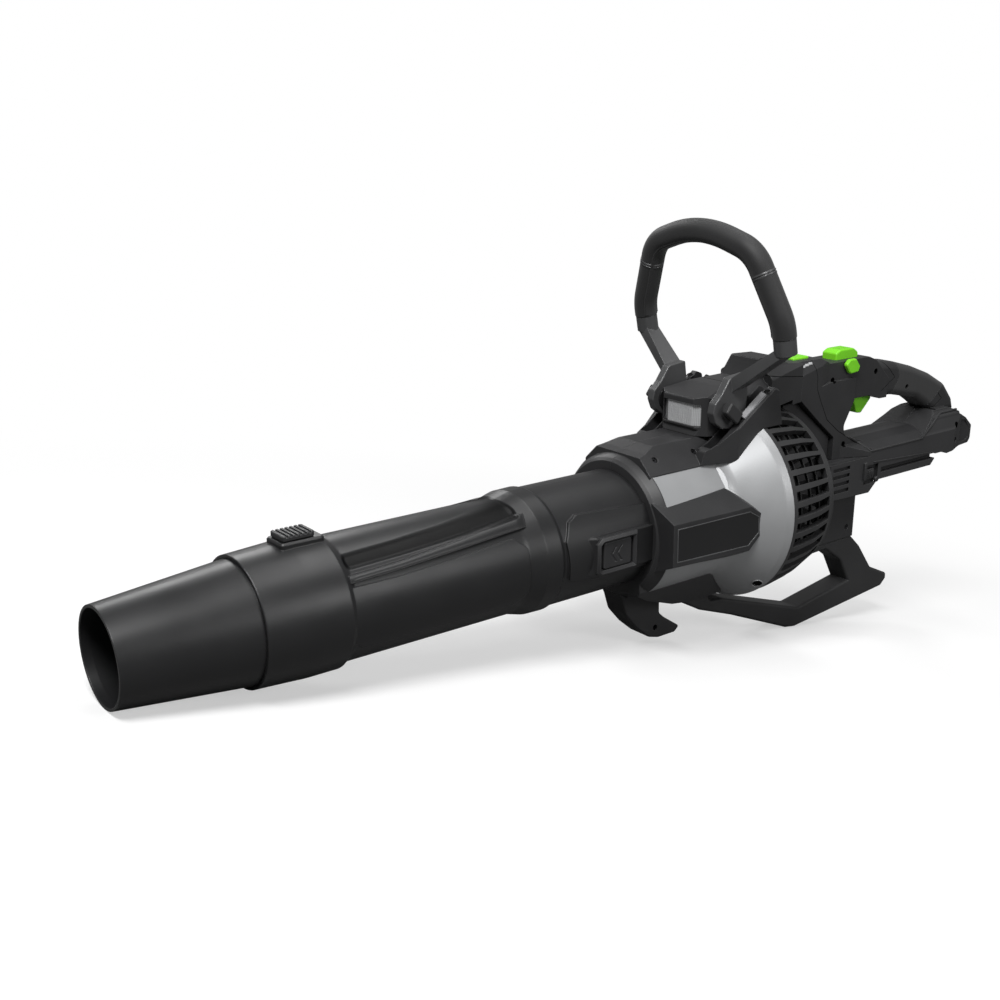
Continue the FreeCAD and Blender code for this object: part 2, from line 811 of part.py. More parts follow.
def intake_guard():
    """Barrel of axial slats between two rings, closed by a slotted rear wall."""
    fore = seam_x - part_gap
    cage = turned(guard_outer() + list(reversed(guard_outer(-guard_depth))))
    gaps = []
    for index in range(slat_count):
        gap = block(guard_rear + guard_ring, fore - guard_ring, -slat_gap_width / 2, slat_gap_width / 2,
                    guard_rear_r - guard_depth - 8, seam_r + 10)
        gaps.append(turned_about_tube(gap, 360.0 / slat_count * (index + 0.5)))
    cage = cage.cut(gaps)
    rear_wall = drum(guard_rear - grille_wall, guard_rear, guard_rear_r - 1.0)
    slots = []
    for index in range(grille_slots):
        slot = block(guard_rear - grille_wall - 1, guard_rear + 1, -3.2, 3.2, 46, 82)
        slots.append(turned_about_tube(slot, 360.0 / grille_slots * (index + 0.5)))
    mount_pad = block(guard_rear - grille_wall - 2, guard_rear + 2, -column_half - 2, column_half + 2,
                      -100, 100)
    rear_wall = rear_wall.cut([slot.cut(mount_pad) for slot in slots])
    posts = [drum_at(guard_rear - 1, guard_rear + 9, 5.0, 0, z) for z in column_screw_heights]
    return fused([cage, rear_wall] + posts).cut(column_screw_holes())


column_screw_heights = (-42.0, 38.0)
frame_screw_length = 10.0


def drum_at(rear, fore, radius, y, z):
    return Part.makeCylinder(radius, fore - rear, Vector(rear, y, z), Vector(1, 0, 0))


def column_screw_places():
    """Screws from inside the column's front wall into the posts of the guard."""
    head_x = column_front - shell_wall - 2.4
    return [(Vector(head_x, 0, z), Vector(1, 0, 0)) for z in column_screw_heights]


def column_screw_holes():
    return [screw_hole(at, way, frame_screw_length, well=4.0) for at, way in column_screw_places()]


# Console and lamp

def console_room():
    """Space of the console's foot in the housing shells."""
    return block(visor_front - 0.7, -640, -console_half - seat_gap, console_half + seat_gap,
                 spine_top + seat_gap, 200)


def console():
    """Cap over the fan that carries the lamp and the bale's pivots and runs back to the handle."""
    rear = handle_front + part_gap
    profile = [
        (visor_front - 1, spine_top + 0.3), (visor_front - 4, 89), (visor_front - 1, 90.5),
        (visor_front - 1, lamp_top - 1), (visor_front, lamp_top), (visor_front, 121.5, 3),
        (-538, 129, 40), (-586, console_top), (-596, 151, 3), (-628, 149.5, 3),
        (-641, 141, 6), (rear, 139.5), (rear, 97), (-640, 97), (-640, 60), (-540, 60),
        (-540, spine_top + 0.3),
    ]
    body = side(profile, -console_half, console_half)
    footprint = plan([(visor_front + 0.5, -20), (visor_corner, 4 - console_half, 2), (-522, -console_half),
                      (-606, -console_half, 20), (rear, -25.5), (rear, 25.5), (-606, console_half, 20),
                      (-522, console_half), (visor_corner, console_half - 4, 2), (visor_front + 0.5, 20)],
                     40, 200)
    section = front([(-console_half, 40), (-console_half, 119, 3), (-23, console_top, 4), (-17, 158, 3),
                     (17, 158, 3), (23, console_top, 4), (console_half, 119, 3), (console_half, 40)],
                    rear - 1, -480)
    section_rear = front([(-console_half, 40), (-console_half, 131, 3), (-21, 141, 4), (-15, 160, 3),
                          (15, 160, 3), (21, 141, 4), (console_half, 131, 3), (console_half, 40)],
                         rear - 1, -600)
    body = body.common(footprint).common(section.fuse(section_rear))
    hollow = block(-546, -640, -27, 27, 60, 120)
    body = body.cut([bell_envelope(seat_gap), lamp_room(), lamp_board_room(),
                     pivot_hole(bolt_r + press_gap), hollow])
    return max(body.Solids, key=lambda solid: solid.Volume)


def lamp_outline():
    """Plan view of the lens: a flat face with its ends swept back."""
    back = lamp_face - lamp_depth
    return [(lamp_face, -lamp_half), (lamp_face, lamp_half), (back + 2, lamp_edge), (back, lamp_edge),
            (back, -lamp_edge), (back + 2, -lamp_edge)]


def light_lens():
    lens = plan(lamp_outline(), lamp_bottom + seat_gap, lamp_top - seat_gap)
    ribs = [block(lamp_face - 0.5, lamp_face + 1, y - 0.35, y + 0.35, lamp_bottom + 2, lamp_top - 2)
            for y in range(-15, 16, 3)]
    pocket = block(lamp_face - 10, lamp_face - 4, -lamp_half, lamp_half, lamp_bottom + 3, lamp_top - 3)
    return lens.cut(ribs + [pocket])


def lamp_room():
    return block(lamp_face - lamp_depth, lamp_face + 12, -lamp_edge, lamp_edge, lamp_bottom, lamp_top)


def lamp_board_room():
    back = lamp_face - lamp_depth
    return block(back - 6, back + 0.01, -20, 20, lamp_bottom + 2, lamp_top - 2)


def light_board():
    """Lamp board with its row of diodes, seated behind the lens."""
    back = lamp_face - lamp_depth
    board = block(back - 5.8, back - 4.2, -19.8, 19.8, lamp_bottom + 2.2, lamp_top - 2.2)
    middle = (lamp_bottom + lamp_top) / 2
    diodes = [block(back - 4.3, back - 3.0, y - 2, y + 2, middle - 2, middle + 2) for y in (-14, -7, 0, 7, 14)]
    return fused([board] + diodes)


def pivot_hole(radius):
    return cross_rod(pivot_x, pivot_z, radius, -far, far)


# Bale handle

def bale_point(y, height):
    """A point of the bale's leaning plane, height measured up the plane."""
    lean = math.radians(bale_lean)
    return Vector(bale_plane_x + height * math.sin(lean), y, bale_plane_z + height * math.cos(lean))


def bale_route(bottom):
    legs = [(bale_leg_y, bottom), (bale_leg_y, 15, 52), (67, 83, 36), (0, 105.5, 120)]
    other = [(-point[0],) + point[1:] for point in reversed(legs[:-1])]
    return corner_path(legs + other, bale_point, closed=False)


def bale_bar(bottom, radius):
    route = bale_route(bottom)
    lean = math.radians(bale_lean)
    start = bale_point(bale_leg_y, bottom)
    profile = Part.Wire(Part.makeCircle(radius, start, Vector(math.sin(lean), 0, math.cos(lean))))
    return route.makePipeShell([profile], True, True)


def bale_arm():
    """Left arm: the flat leg from the loop and the plate that turns on the pivot."""
    top = bale_point(bale_leg_y, bale_leg_bottom + 1.5)
    upper = [(top.x + 8.5, 88.5, top.z + 2), (top.x + 8.5, 103.0, top.z), (top.x - 8.5, 103.0, top.z),
             (top.x - 8.5, 88.5, top.z + 2)]
    outer = arm_inner + arm_thickness
    root = outer - 1.0
    lower = [(-524.0, root, 143.0), (-526.0, root, 128.0), (-548.0, root, 131.0), (-546.5, root, 145.5)]
    wires = [Part.makePolygon([Vector(*corner) for corner in corners + corners[:1]])
             for corners in (upper, lower)]
    leg = Part.makeLoft(wires, True, True)
    plate = side([(-547, 146, 2), (-523, 143.5, 5), (-512, 128), (-503, 119.5, 4), (-501, 110, 4),
                  (-506, 99, 5), (-515, 93, 6), (-533, 91, 8), (-548, 99, 6), (-550, 128, 6)],
                 arm_inner, outer, edge=1.2)
    return fused([leg, plate]).cut(pivot_hole(bolt_r + shaft_gap + 0.02))


def bale_frame():
    rod = bale_bar(bale_leg_bottom, bale_rod_r)
    sleeves = bale_bar(bale_leg_bottom, bale_sleeve_r)
    keep = bale_grip_bottom - 0.4
    low = bale_point(0, keep)
    lean_cut = block(-60, 60, -150, 150, 0, 260)
    lean_cut.rotate(Vector(0, 0, 0), Vector(0, 1, 0), bale_lean)
    lean_cut.translate(low)
    sleeves = sleeves.cut(lean_cut)
    arms = both(bale_arm())
    return fused([rod] + sleeves.Solids + arms)


def bale_grip():
    """Rubber grip round the loop in three lengths, split where the bends begin."""
    outer = bale_bar(bale_grip_bottom, bale_grip_r)
    inner = bale_bar(bale_grip_bottom - 1, bale_rod_r + press_gap)
    grip = outer.cut(inner)
    slope = math.radians(180 - 22.4)
    joint = bale_point(76.0, 61.0)
    cut = block(-30, 30, -30, 30, -0.25, 0.25)
    cut.rotate(Vector(0, 0, 0), Vector(1, 0, 0), 180 - math.degrees(slope))
    cut.rotate(Vector(0, 0, 0), Vector(0, 1, 0), bale_lean)
    cut.translate(joint)
    return grip.cut(both(cut))


def bale_bolts():
    """Two pivot bolts with their wing heads and collars."""
    outer = arm_inner + arm_thickness
    head = outer + arm_side_gap
    shank = cross_rod(pivot_x, pivot_z, bolt_r, 23.0, head + 1)
    collar = cross_rod(pivot_x, pivot_z, 9.0, outer + seat_gap, head + 0.1)
    wing = side([(pivot_x - 11, pivot_z - 6.5, 2), (pivot_x + 11, pivot_z - 6.5, 2),
                 (pivot_x + 11, pivot_z + 6.5, 2), (pivot_x - 11, pivot_z + 6.5, 2)],
                head, head + 7.5, chamfer=1.2)
    wing = tilted(wing, pivot_x, pivot_z, -38)
    return Part.makeCompound(both(fused([shank, collar, wing])))


def bale_washers():
    """Friction washers between the arms and the console."""
    washer = cross_rod(pivot_x, pivot_z, 12.0, console_half + 0.02, arm_inner - seat_gap)
    washer = washer.cut(pivot_hole(bolt_r + press_gap))
    return Part.makeCompound(both(washer))


# Rear handle

grip_outline = [
    (-786, 131), (-809, 123, 12), (-842, 118.5, 60), (-878, 109, 80), (-915, 96, 70), (-947, 80, 20),
    (-966, 60, 8), (-972, 44), (-930, 44), (-905, 60, 10), (-888, 69.5, 14), (-842, 79, 60), (-818, 79, 20),
    (-790, 88),
]


def offset_outline(points, inset):
    """The same outline drawn smaller by inset, as a face in the middle plane."""
    face = Part.Face(corner_path(points, lambda x, z: Vector(x, 0, z)))
    return face.makeOffset2D(-inset) if inset else face


def grip_body(inset=0.0):
    half = grip_half - inset
    face = offset_outline(grip_outline, inset)
    face.translate(Vector(0, -half, 0))
    solid = face.extrude(Vector(0, 2 * half, 0))
    return solid.makeFillet(grip_half * 0.52, rim_edges(solid, 1, (-half, half)))


def grip_zone(gap=0.0):
    """Where the rubber covers the grip: behind a V line, ahead of the tail block."""
    return across([(-834 - gap, 140), (-849 - gap, 100), (-827 - gap, 70), (-827 - gap, 60),
                   (-890, 40), (-906 + gap, 52), (-958 + gap, 92), (-958 + gap, 140)], 60)


def handle_grip():
    wells = [screw_hole(at, way, 1.0, handle_screw_r) for at, way in handle_screw_places()]
    return grip_body().common(grip_zone(0.2)).cut([grip_body(grip_skin - press_gap)] + wells)


def tray():
    """Crowned deck under the fingers with its rising tail."""
    crown = front([(-tray_half, 10), (-tray_half, tray_edge), (-26, 33), (-12, tray_crown, 6),
                   (12, tray_crown, 6), (26, 33), (tray_half, tray_edge), (tray_half, 10)], -884, -742)
    flare = plan([(-742, -web_half), (-742, web_half), (-777, tray_half), (-962, tray_half),
                  (-962, -tray_half), (-777, -tray_half)], 0, 100)
    tail_view = across([(-872, 18), (-878, tray_edge + 2, 8), (-915, 52, 6), (-946, 52), (-966, 44),
                        (-966, 18)], tray_half)
    tail_top = front(tail_section(10), -966, -870)
    return fused([crown, tail_view.common(tail_top)]).common(flare)


def tail_section(low):
    """Front view of the tail, narrower towards its top; low is where the sides end."""
    half = [(tray_half, low), (tray_half, 27), (29, 46, 4), (20, 54, 6)]
    return half + [(-point[0],) + point[1:] for point in reversed(half)]


def mount_top_cutter():
    """Everything below the seam between the handle shells and the battery mount."""
    return across([(-600, 20), (-777, 20), (-777, tray_edge), (-878, tray_edge, 6), (-915, 50.5, 6),
                   (-948, 50.5), (-962, 43), (-1100, 43), (-1100, -200), (-600, -200)], 100)


def deck():
    """Fore part of the handle: control deck and the web that runs down to the mount."""
    top = across([
        (handle_front, 139.5), (-700, 139.0), (-716, 131.5, 4), (-786, 131.5), (-800, 126), (-830, 100),
        (-826, 79), (-812, 79.5), (-790, 86), (-764, 86), (-745, 58), (-727.3, 47), (handle_front, 97.5),
    ], web_half + 4)
    web = across([(-700, 108), (-716, 111), (-760, 111), (-760, 85, 3), (-744, 57, 10), (-748, 45, 8),
                  (-790, 32), (-790, 10), (-728, 10), (-728, 46), (-700, 67)], web_half)
    shape = plan([(handle_front, -25.5), (-700, -web_half), (-715, -deck_half, 6), (-800, -deck_half),
                  (-835, -grip_half), (-835, grip_half), (-800, deck_half), (-715, deck_half, 6),
                  (-700, web_half), (handle_front, 25.5)], 0, 200)
    section = front([(-27, 0), (-27, 122), (-17, 141.5, 3), (17, 141.5, 3), (27, 122), (27, 0)], -900, -600)
    return fused([top.common(shape).common(section), web])


def handle_cavities():
    """Rooms for the trigger, the switch, the paddle and the boost button."""
    trigger_room = block(-765, -822, -trigger_half - part_gap, trigger_half + part_gap, 60, 108)
    switch_room = block(switch_front + 1, switch_rear - 8, -8, 8, 86, 108)
    paddle_room = block(-736.5, -777.5, -paddle_half - part_gap, paddle_half + part_gap, 119, far)
    hollow = across([(-668, 118), (-710, 114.5), (-710, 78), (-668, 110)], web_half - shell_wall)
    grip_hollow = across([(-838, 111), (-880, 100), (-915, 86), (-935, 74), (-915, 72), (-885, 79),
                          (-840, 88)], grip_half - grip_skin - 4.0)
    return [trigger_room, switch_room, paddle_room, hollow, grip_hollow, boost_slot(), boost_switch_room()]


def boost_slot():
    low, high = 126.5, far
    return block(-664.3, -691.3, -boost_half - part_gap, boost_half + part_gap, low, high)


def boost_switch_room():
    return block(-669.8, -686.2, -6.2, 6.2, 118.8, 127)


def handle():
    """Left handle shell."""
    core = grip_body().cut(grip_zone()).fuse(grip_body(grip_skin).common(grip_zone(-2.0)))
    body = fused([deck(), core, tray()])
    body = body.cut([mount_top_cutter()] + handle_cavities() + column_room())
    holes = [cross_rod(trigger_pin_x, trigger_pin_z, pin_r + press_gap, -pin_half - 0.2, pin_half + 0.2),
             cross_rod(paddle_pin_x, paddle_pin_z, pin_r + press_gap, -pin_half - 0.2, pin_half + 0.2),
             cross_rod(lever_x, lever_z, lever_stud_r + shaft_gap, 13.0, far)]
    body = body.cut(holes)
    return body


def handle_half(left):
    body = handle()
    holes = [screw_hole(at, way, handle_screw_length, handle_screw_r, 2.0, 1.4)
             for at, way in handle_screw_places()]
    body = body.cut(holes)
    keep = block(-2000, 0, seam_gap / 2, far, -far, far)
    half = body.common(keep if left else mirrored(keep))
    return max(half.Solids, key=lambda solid: solid.Volume)


def handle_screw_places():
    """Handle screws, driven from the left side."""
    spots = [(-722.0, 112.0, deck_half - 4.0), (-800.0, 113.0, deck_half - 4.5),
             (-746.0, 36.0, web_half - 3.0), (-866.0, 86.0, grip_half - grip_skin - 1.0)]
    return [(Vector(x, y, z), Vector(0, -1, 0)) for x, z, y in spots]


handle_screw_length = 7.0
handle_screw_r = 2.8


def handle_screws():
    return Part.makeCompound([screw(at, way, handle_screw_length, handle_screw_r, 2.0, 1.4)
                              for at, way in handle_screw_places()])


def column_room():
    gap = part_gap
    return [across([(-600, 96.9 + gap), (handle_front - 1, 96.9 + gap), (-727.6, 46.9), (-727.6, 0),
                    (-600, 0)], far)]


# Controls

def trigger():
    """Finger blade that swings up about the pin at its front."""
    blade = across([(-770, 102, 4), (-783, 102, 4), (-793, 92, 6), (-811, 86, 2), (-810, 78, 4),
                    (-794, 63, 3), (-785, 64, 6), (-776, 84, 12)], trigger_half, edge=1.6)
    pocket = Part.makeCylinder(2.6, 10, Vector(trigger_spring_x, 0, 83), Vector(0, 0, 1))
    return blade.cut([cross_rod(trigger_pin_x, trigger_pin_z, pin_r + shaft_gap, -far, far), pocket])


def control_pins():
    """Pivot pins of the trigger and of the palm paddle."""
    return Part.makeCompound([cross_rod(trigger_pin_x, trigger_pin_z, pin_r, -pin_half, pin_half),
                              cross_rod(paddle_pin_x, paddle_pin_z, pin_r, -pin_half, pin_half)])


def trigger_spring():
    return coil(Vector(trigger_spring_x, 0, 83.1), Vector(0, 0, 1), 24.8, 1.8, 0.35, 8)


def trigger_switch():
    body = across([(switch_front, 105), (switch_rear, 105), (switch_rear, 88), (switch_front, 88)], 7.0,
                  chamfer=0.6)
    plunger = Part.makeCylinder(1.8, 8, Vector(switch_rear - 7.2, 0, 101), Vector(1, 0, 0))
    return body.fuse(plunger)


def top_paddle():
    """Palm paddle on the deck, hinged at its front end."""
    body = across([(-737.2, 126, 2), (-737.2, 139, 3), (-745, 142.2, 8), (-768, 142.2, 8), (-776.4, 137, 4),
                   (-776.4, 126, 2)], paddle_half, edge=1.8)
    grooves = [block(x - 0.6, x + 0.6, -6.5, 6.5, 141.4, 150) for x in range(-768, -744, 4)]
    return body.cut([cross_rod(paddle_pin_x, paddle_pin_z, pin_r + shaft_gap, -far, far)] + grooves)


def paddle_spring():
    return coil(Vector(-770, 0, 119.1), Vector(0, 0, 1), 6.8, 2.4, 0.35, 3)


def cruise_lever():
    """Speed-hold lever on the left of the deck, turning on a stud."""
    low = deck_half + part_gap
    plate = side([(-738, 128, 3), (-744, 133.5, 3), (-755, 133.5, 3), (-763, 124, 2), (-760, 118, 2),
                  (-746, 117, 5)], low, low + 5.5, chamfer=1.2)
    stud = cross_rod(lever_x, lever_z, lever_stud_r, 13.2, low + 2)
    return fused([plate, stud])


def boost_button():
    """Flat button where the console meets the handle."""
    body = plan([(-690.8, -boost_half, 2), (-664.8, -boost_half, 2), (-664.8, boost_half, 2),
                 (-690.8, boost_half, 2)], 129.4, 141.6, chamfer=1.0)
    return body


def boost_switch():
    body = block(-670, -686, -6, 6, 119, 125.0)
    plunger = Part.makeCylinder(2.0, 2.5, Vector(-678, 0, 124.8), Vector(0, 0, 1))
    return body.fuse(plunger)


# Battery mount and column

def battery_mount():
    """Lower body: side vents, tail block and the rails that a battery slides onto."""
    body = across([
        (mount_front, 19.7), (-777.3, 19.7), (-777.3, tray_edge - part_gap),
        (-878, tray_edge - part_gap, 6), (-915, 50.2, 6), (-948, 50.2), (-962, 42.7), (-979, 35, 3),
        (mount_rear + 1.5, 20, 5), (mount_rear, 11, 5), (mount_rear + 10, 1, 4), (-958, 1),
        (-931, -1.5), (-919, 2), (rail_rear, 2),
        (rail_rear, -4, 2), (-899, rail_bottom), (-795, rail_bottom), (-780, mount_bottom, 4),
        (mount_front, mount_bottom + 2),
    ], mount_half)
    tail = plan([(mount_front, -mount_half, 6), (mount_front, mount_half, 6), (-944, mount_half, 20),
                 (-968, 30, 8), (mount_rear - 1, 26, 9), (mount_rear - 1, -26, 9), (-968, -30, 8),
                 (-944, -mount_half, 20)], -40, 90)
    section = front(tail_section(-40), -1100, -600)
    body = body.common(tail).common(section)
    channel = block(rail_rear - 20, -797, -20.5, 20.5, -40, -1.0)
    groove = block(rail_rear - 1, -800, mount_half - rail_groove_depth, far, -3.0, 3.2)
    vents = [block(-712, -742, mount_half - 3.0, far, z, z + 4.2) for z in (-15, -6.5, 2, 10.5)]
    inside = across([(-711, 14), (-768, 14), (-768, -18), (-711, -18)], mount_half - 3.4)
    hollow = block(-800, -940, -26, 26, 5, 18)
    room = [block(-768.5, -794.5, mount_half - 4.0, far, -13, 9),
            block(-771.7, -788.3, 18.0, far, -8.3, 4.3)]
    tail_flat = side([(-966, 34), (-979, 32), (-992, 18), (-992, 10), (-984, 5), (-966, 5)], 27.2, far)
    cut = [channel, inside, hollow] + both(groove) + both(Part.makeCompound(vents)) + room + both(tail_flat)
    cut += [screw_hole(at, way, frame_screw_length) for at, way in mount_screw_places()]
    return body.cut(cut)


def mount_screw_places():
    return [(Vector(-950.0, 31.0, 12.0), Vector(0, -1, 0))]


def battery_terminals():
    """Terminal block in the mount's channel with its contact blades."""
    base = block(-797.2, -812, -20.3, 20.3, -8.5, -1.1)
    blades = [block(-811, -832, y - 0.5, y + 0.5, -8.0, -1.6) for y in (-15, -9, 0, 9, 15)]
    return fused([base] + blades)


def battery_latch():
    """Catch on the left of the mount, pressed in to free a battery."""
    body = side([(-772, -8, 1.5), (-788, -8, 1.5), (-788, 4, 1.5), (-772, 4, 1.5)], 26.0, mount_half - 0.6,
                chamfer=0.6)
    well = Part.makeCylinder(3.0, 8.0, Vector(-780, 26.0, -2), Vector(0, 1, 0))
    return body.cut(well)


def battery_latch_spring():
    return coil(Vector(-780, 18.1, -2), Vector(0, 1, 0), 15.8, 2.4, 0.35, 6)


def rear_column():
    """Hollow frame behind the guard; it joins the console, the mount and the skid."""
    outline = [(column_front, -72), (column_front, 94, 2), (-663, 96.5), (-727.2, 46.6), (-727.2, 20.0),
               (mount_front + part_gap, 20.0), (mount_front + part_gap, mount_bottom - 0.3),
               (column_rear, mount_bottom - 0.3), (column_rear, column_bottom), (-662, column_bottom, 12)]
    body = across(outline, column_half, chamfer=1.2)
    inner = column_front - shell_wall
    room = across([(inner, -70), (inner, 86), (-664, 88), (-701.5, 60), (-701.5, -28), (-762, -28),
                   (-762, column_bottom + 4), (-668, column_bottom + 4)], column_half - shell_wall)
    vents = [block(-716, -744, column_half - 4, far, z, z + 3.4) for z in (-35, -44, -53)]
    side_holes = [screw_hole(at, way, frame_screw_length) for at, way in column_side_screw_places()]
    return body.cut([room] + both(Part.makeCompound(vents)) + column_screw_holes() + side_holes)


def column_side_screw_places():
    return [(Vector(-773.0, column_half - 1.0, -70.0), Vector(0, -1, 0))]


def frame_screws():
    """Screws of the column and of the mount's tail block."""
    places = column_screw_places() + column_side_screw_places() + mount_screw_places()
    return Part.makeCompound([screw(at, way, frame_screw_length) for at, way in places])


def controller_board():
    """Motor controller with the fins of its heat sink, upright in the column."""
    plate = block(-668, -670, -12.2, 12.2, -62, 66)
    sink = block(-670, -676, -11, 11, -40, 40)
    fins = [block(-676, -692, -11, 11, z, z + 1.6) for z in range(-38, 39, 8)]
    parts = [block(-662, -668, -8, 8, z, z + 12) for z in (-52, -22, 16, 44)]
    return fused([plate, sink] + fins + parts)


# Skid and front foot

def floor_point(distance):
    """A point of the floor line at a distance behind the skid's corner."""
    angle = math.radians(stand_angle)
    return (skid_corner_x - distance * math.cos(angle), skid_corner_z - distance * math.sin(angle))


def skid():
    """Loop of bar under the fan: front root, runner and the foot that carries the column."""
    outline = [
        (-498, keel_bottom - 0.02), (-500, -99, 3), (-533, -117, 14), (-583, -135, 20),
        floor_point(-rest_flat / 2), floor_point(rest_flat / 2), (-856, -164, 3), (-865, -156, 3),
        (-865, -149, 3), (-832, -134, 8), (-806, -101, 24), (column_rear, column_bottom - 0.02),
        (-708, column_bottom - 0.02), (-712, -93, 4), (-742, -92, 10), (-771, -112, 14), (-788, -141),
        (-698, -154, 14), (-597, -121, 30), (-566, -111, 14), (-547, -109.5, 5), (-540, keel_bottom - 0.02),
    ]
    bar = across(outline, skid_half, edge=3.0)
    return bar


def front_foot():
    """Hooked foot under the keel."""
    outline = [
        (-409, -62.6), (-416, -77, 6), (-422, -95, 14), (-438, -113, 18), (-456, -128, 12), (-470, -131.8, 8),
        (-494, -131.8, 3), (-500.5, -126, 2), (-478, -111, 4), (-470, -104, 6), (-469.5, -88.6),
        (-424, -71.6),
    ]
    body = across(outline, foot_half, edge=2.0)
    return body.cut([cross_rod(-464, -119, 3.2, -far, far), neck_envelope(part_gap)])


pieces = {
    "nozzle": nozzle,
    "nozzle_lock_button": lock_button,
    "nozzle_lock_spring": lock_spring,
    "blower_tube": blower_tube,
    "tube_latch_left": latch_button,
    "tube_latch_right": lambda: mirrored(latch_button()),
    "tube_latch_spring_left": latch_spring,
    "tube_latch_spring_right": lambda: mirrored(latch_spring()),
    "tube_seal": tube_seal,
    "housing_left": housing,
    "housing_right": lambda: mirrored(housing()),
    "housing_screws": housing_screws,
    "bell_left": bell,
    "bell_right": lambda: mirrored(bell()),
    "side_plate_left": badge_plate,
    "side_plate_right": lambda: mirrored(badge_plate()),
    "shoulder_strip_left": shoulder_strip,
    "shoulder_strip_right": lambda: mirrored(shoulder_strip()),
    "fan_duct": fan_duct,
    "tail_cone": tail_cone,
    "motor_end_cap": motor_end_cap,
    "motor_screws": end_cap_screws,
    "motor_stator": motor_stator,
    "motor_magnet": motor_magnet,
    "motor_shaft": motor_shaft,
    "bearing_front": bearing_front,
    "bearing_rear": bearing_rear,
    "fan_rotor": fan_rotor,
    "fan_nut": fan_nut,
    "fan_spinner": fan_spinner,
    "intake_guard": intake_guard,
    "frame_screws": frame_screws,
    "console": console,
    "light_lens": light_lens,
    "light_board": light_board,
    "bale_frame": bale_frame,
    "bale_grip": bale_grip,
    "bale_bolts": bale_bolts,
    "bale_washers": bale_washers,
    "handle_left": lambda: handle_half(True),
    "handle_right": lambda: handle_half(False),
    "handle_grip": handle_grip,
    "handle_screws": handle_screws,
    "trigger": trigger,
    "control_pins": control_pins,
    "trigger_spring": trigger_spring,
    "trigger_switch": trigger_switch,
    "top_paddle": top_paddle,
    "paddle_spring": paddle_spring,
    "cruise_lever": cruise_lever,
    "boost_button": boost_button,
    "boost_switch": boost_switch,
    "battery_mount": battery_mount,
    "battery_terminals": battery_terminals,
    "battery_latch": battery_latch,
    "battery_latch_spring": battery_latch_spring,
    "rear_column": rear_column,
    "controller_board": controller_board,
    "skid": skid,
    "front_foot": front_foot,
}


def build():
    """Every piece in the blower's own axes."""
    return {name: make() for name, make in pieces.items()}


def standing(shapes):
    """Placement that tips the blower nose down and centres it on the floor."""
    tip = Placement(Vector(0, 0, 0), Rotation(Vector(0, 1, 0), stand_angle))
    box = None
    for shape in shapes.values():
        copy = shape.copy()
        copy.Placement = tip.multiply(copy.Placement)
        size = copy.optimalBoundingBox(False)
        box = size if box is None else box.united(size)
    centre = Vector((box.XMin + box.XMax) / 2, (box.YMin + box.YMax) / 2, box.ZMin)
    return Placement(-centre, Rotation()).multiply(tip)


os.makedirs("parts", exist_ok=True)
blower = build()
stand = standing(blower)
for name, shape in blower.items():
    placed = shape.copy()
    placed.Placement = stand.multiply(placed.Placement)
    placed.exportStep(os.path.join("parts", name + ".step"))
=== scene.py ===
import json
import math
import bmesh
import bpy
from mathutils import Matrix, Vector


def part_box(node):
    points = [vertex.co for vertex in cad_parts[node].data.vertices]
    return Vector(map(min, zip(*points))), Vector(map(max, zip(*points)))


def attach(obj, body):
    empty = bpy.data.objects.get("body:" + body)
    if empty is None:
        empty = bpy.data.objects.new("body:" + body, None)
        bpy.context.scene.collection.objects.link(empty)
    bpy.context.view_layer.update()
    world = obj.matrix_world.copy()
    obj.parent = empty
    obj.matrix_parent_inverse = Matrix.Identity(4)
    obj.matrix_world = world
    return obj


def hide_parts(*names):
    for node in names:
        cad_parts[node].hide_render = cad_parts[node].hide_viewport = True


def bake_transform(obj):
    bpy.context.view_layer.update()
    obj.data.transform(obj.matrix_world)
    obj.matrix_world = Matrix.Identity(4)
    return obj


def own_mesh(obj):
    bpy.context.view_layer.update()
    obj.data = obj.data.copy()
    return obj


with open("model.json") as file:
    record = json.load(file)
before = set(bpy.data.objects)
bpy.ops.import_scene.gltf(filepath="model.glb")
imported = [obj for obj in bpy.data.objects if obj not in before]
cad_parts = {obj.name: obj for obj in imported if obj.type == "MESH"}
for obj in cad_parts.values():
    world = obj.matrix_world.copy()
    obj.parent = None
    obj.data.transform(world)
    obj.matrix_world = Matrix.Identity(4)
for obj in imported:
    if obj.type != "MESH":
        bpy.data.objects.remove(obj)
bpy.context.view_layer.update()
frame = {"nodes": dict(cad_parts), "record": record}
nodes = frame["nodes"]

# The blower's own axes, in millimetres: X along the air tube, Y left, Z up, from the collar's rim
mm = 0.001
outlet = next(mount for mount in frame["record"]["mounts"] if mount["name"] == "air_outlet")
outlet_reach = 109.5
along = Vector(outlet["axis"])
left = Vector((0, 1, 0))
upward = along.cross(left)
turn = Matrix((along, left, upward)).transposed()
origin = Vector(outlet["pos_m"]) - along * outlet_reach * mm
tilt = math.atan2(-along.z, along.x)
blower_axes = Matrix.Translation(origin) @ turn.to_4x4() @ Matrix.Scale(mm, 4)


# Shader maths

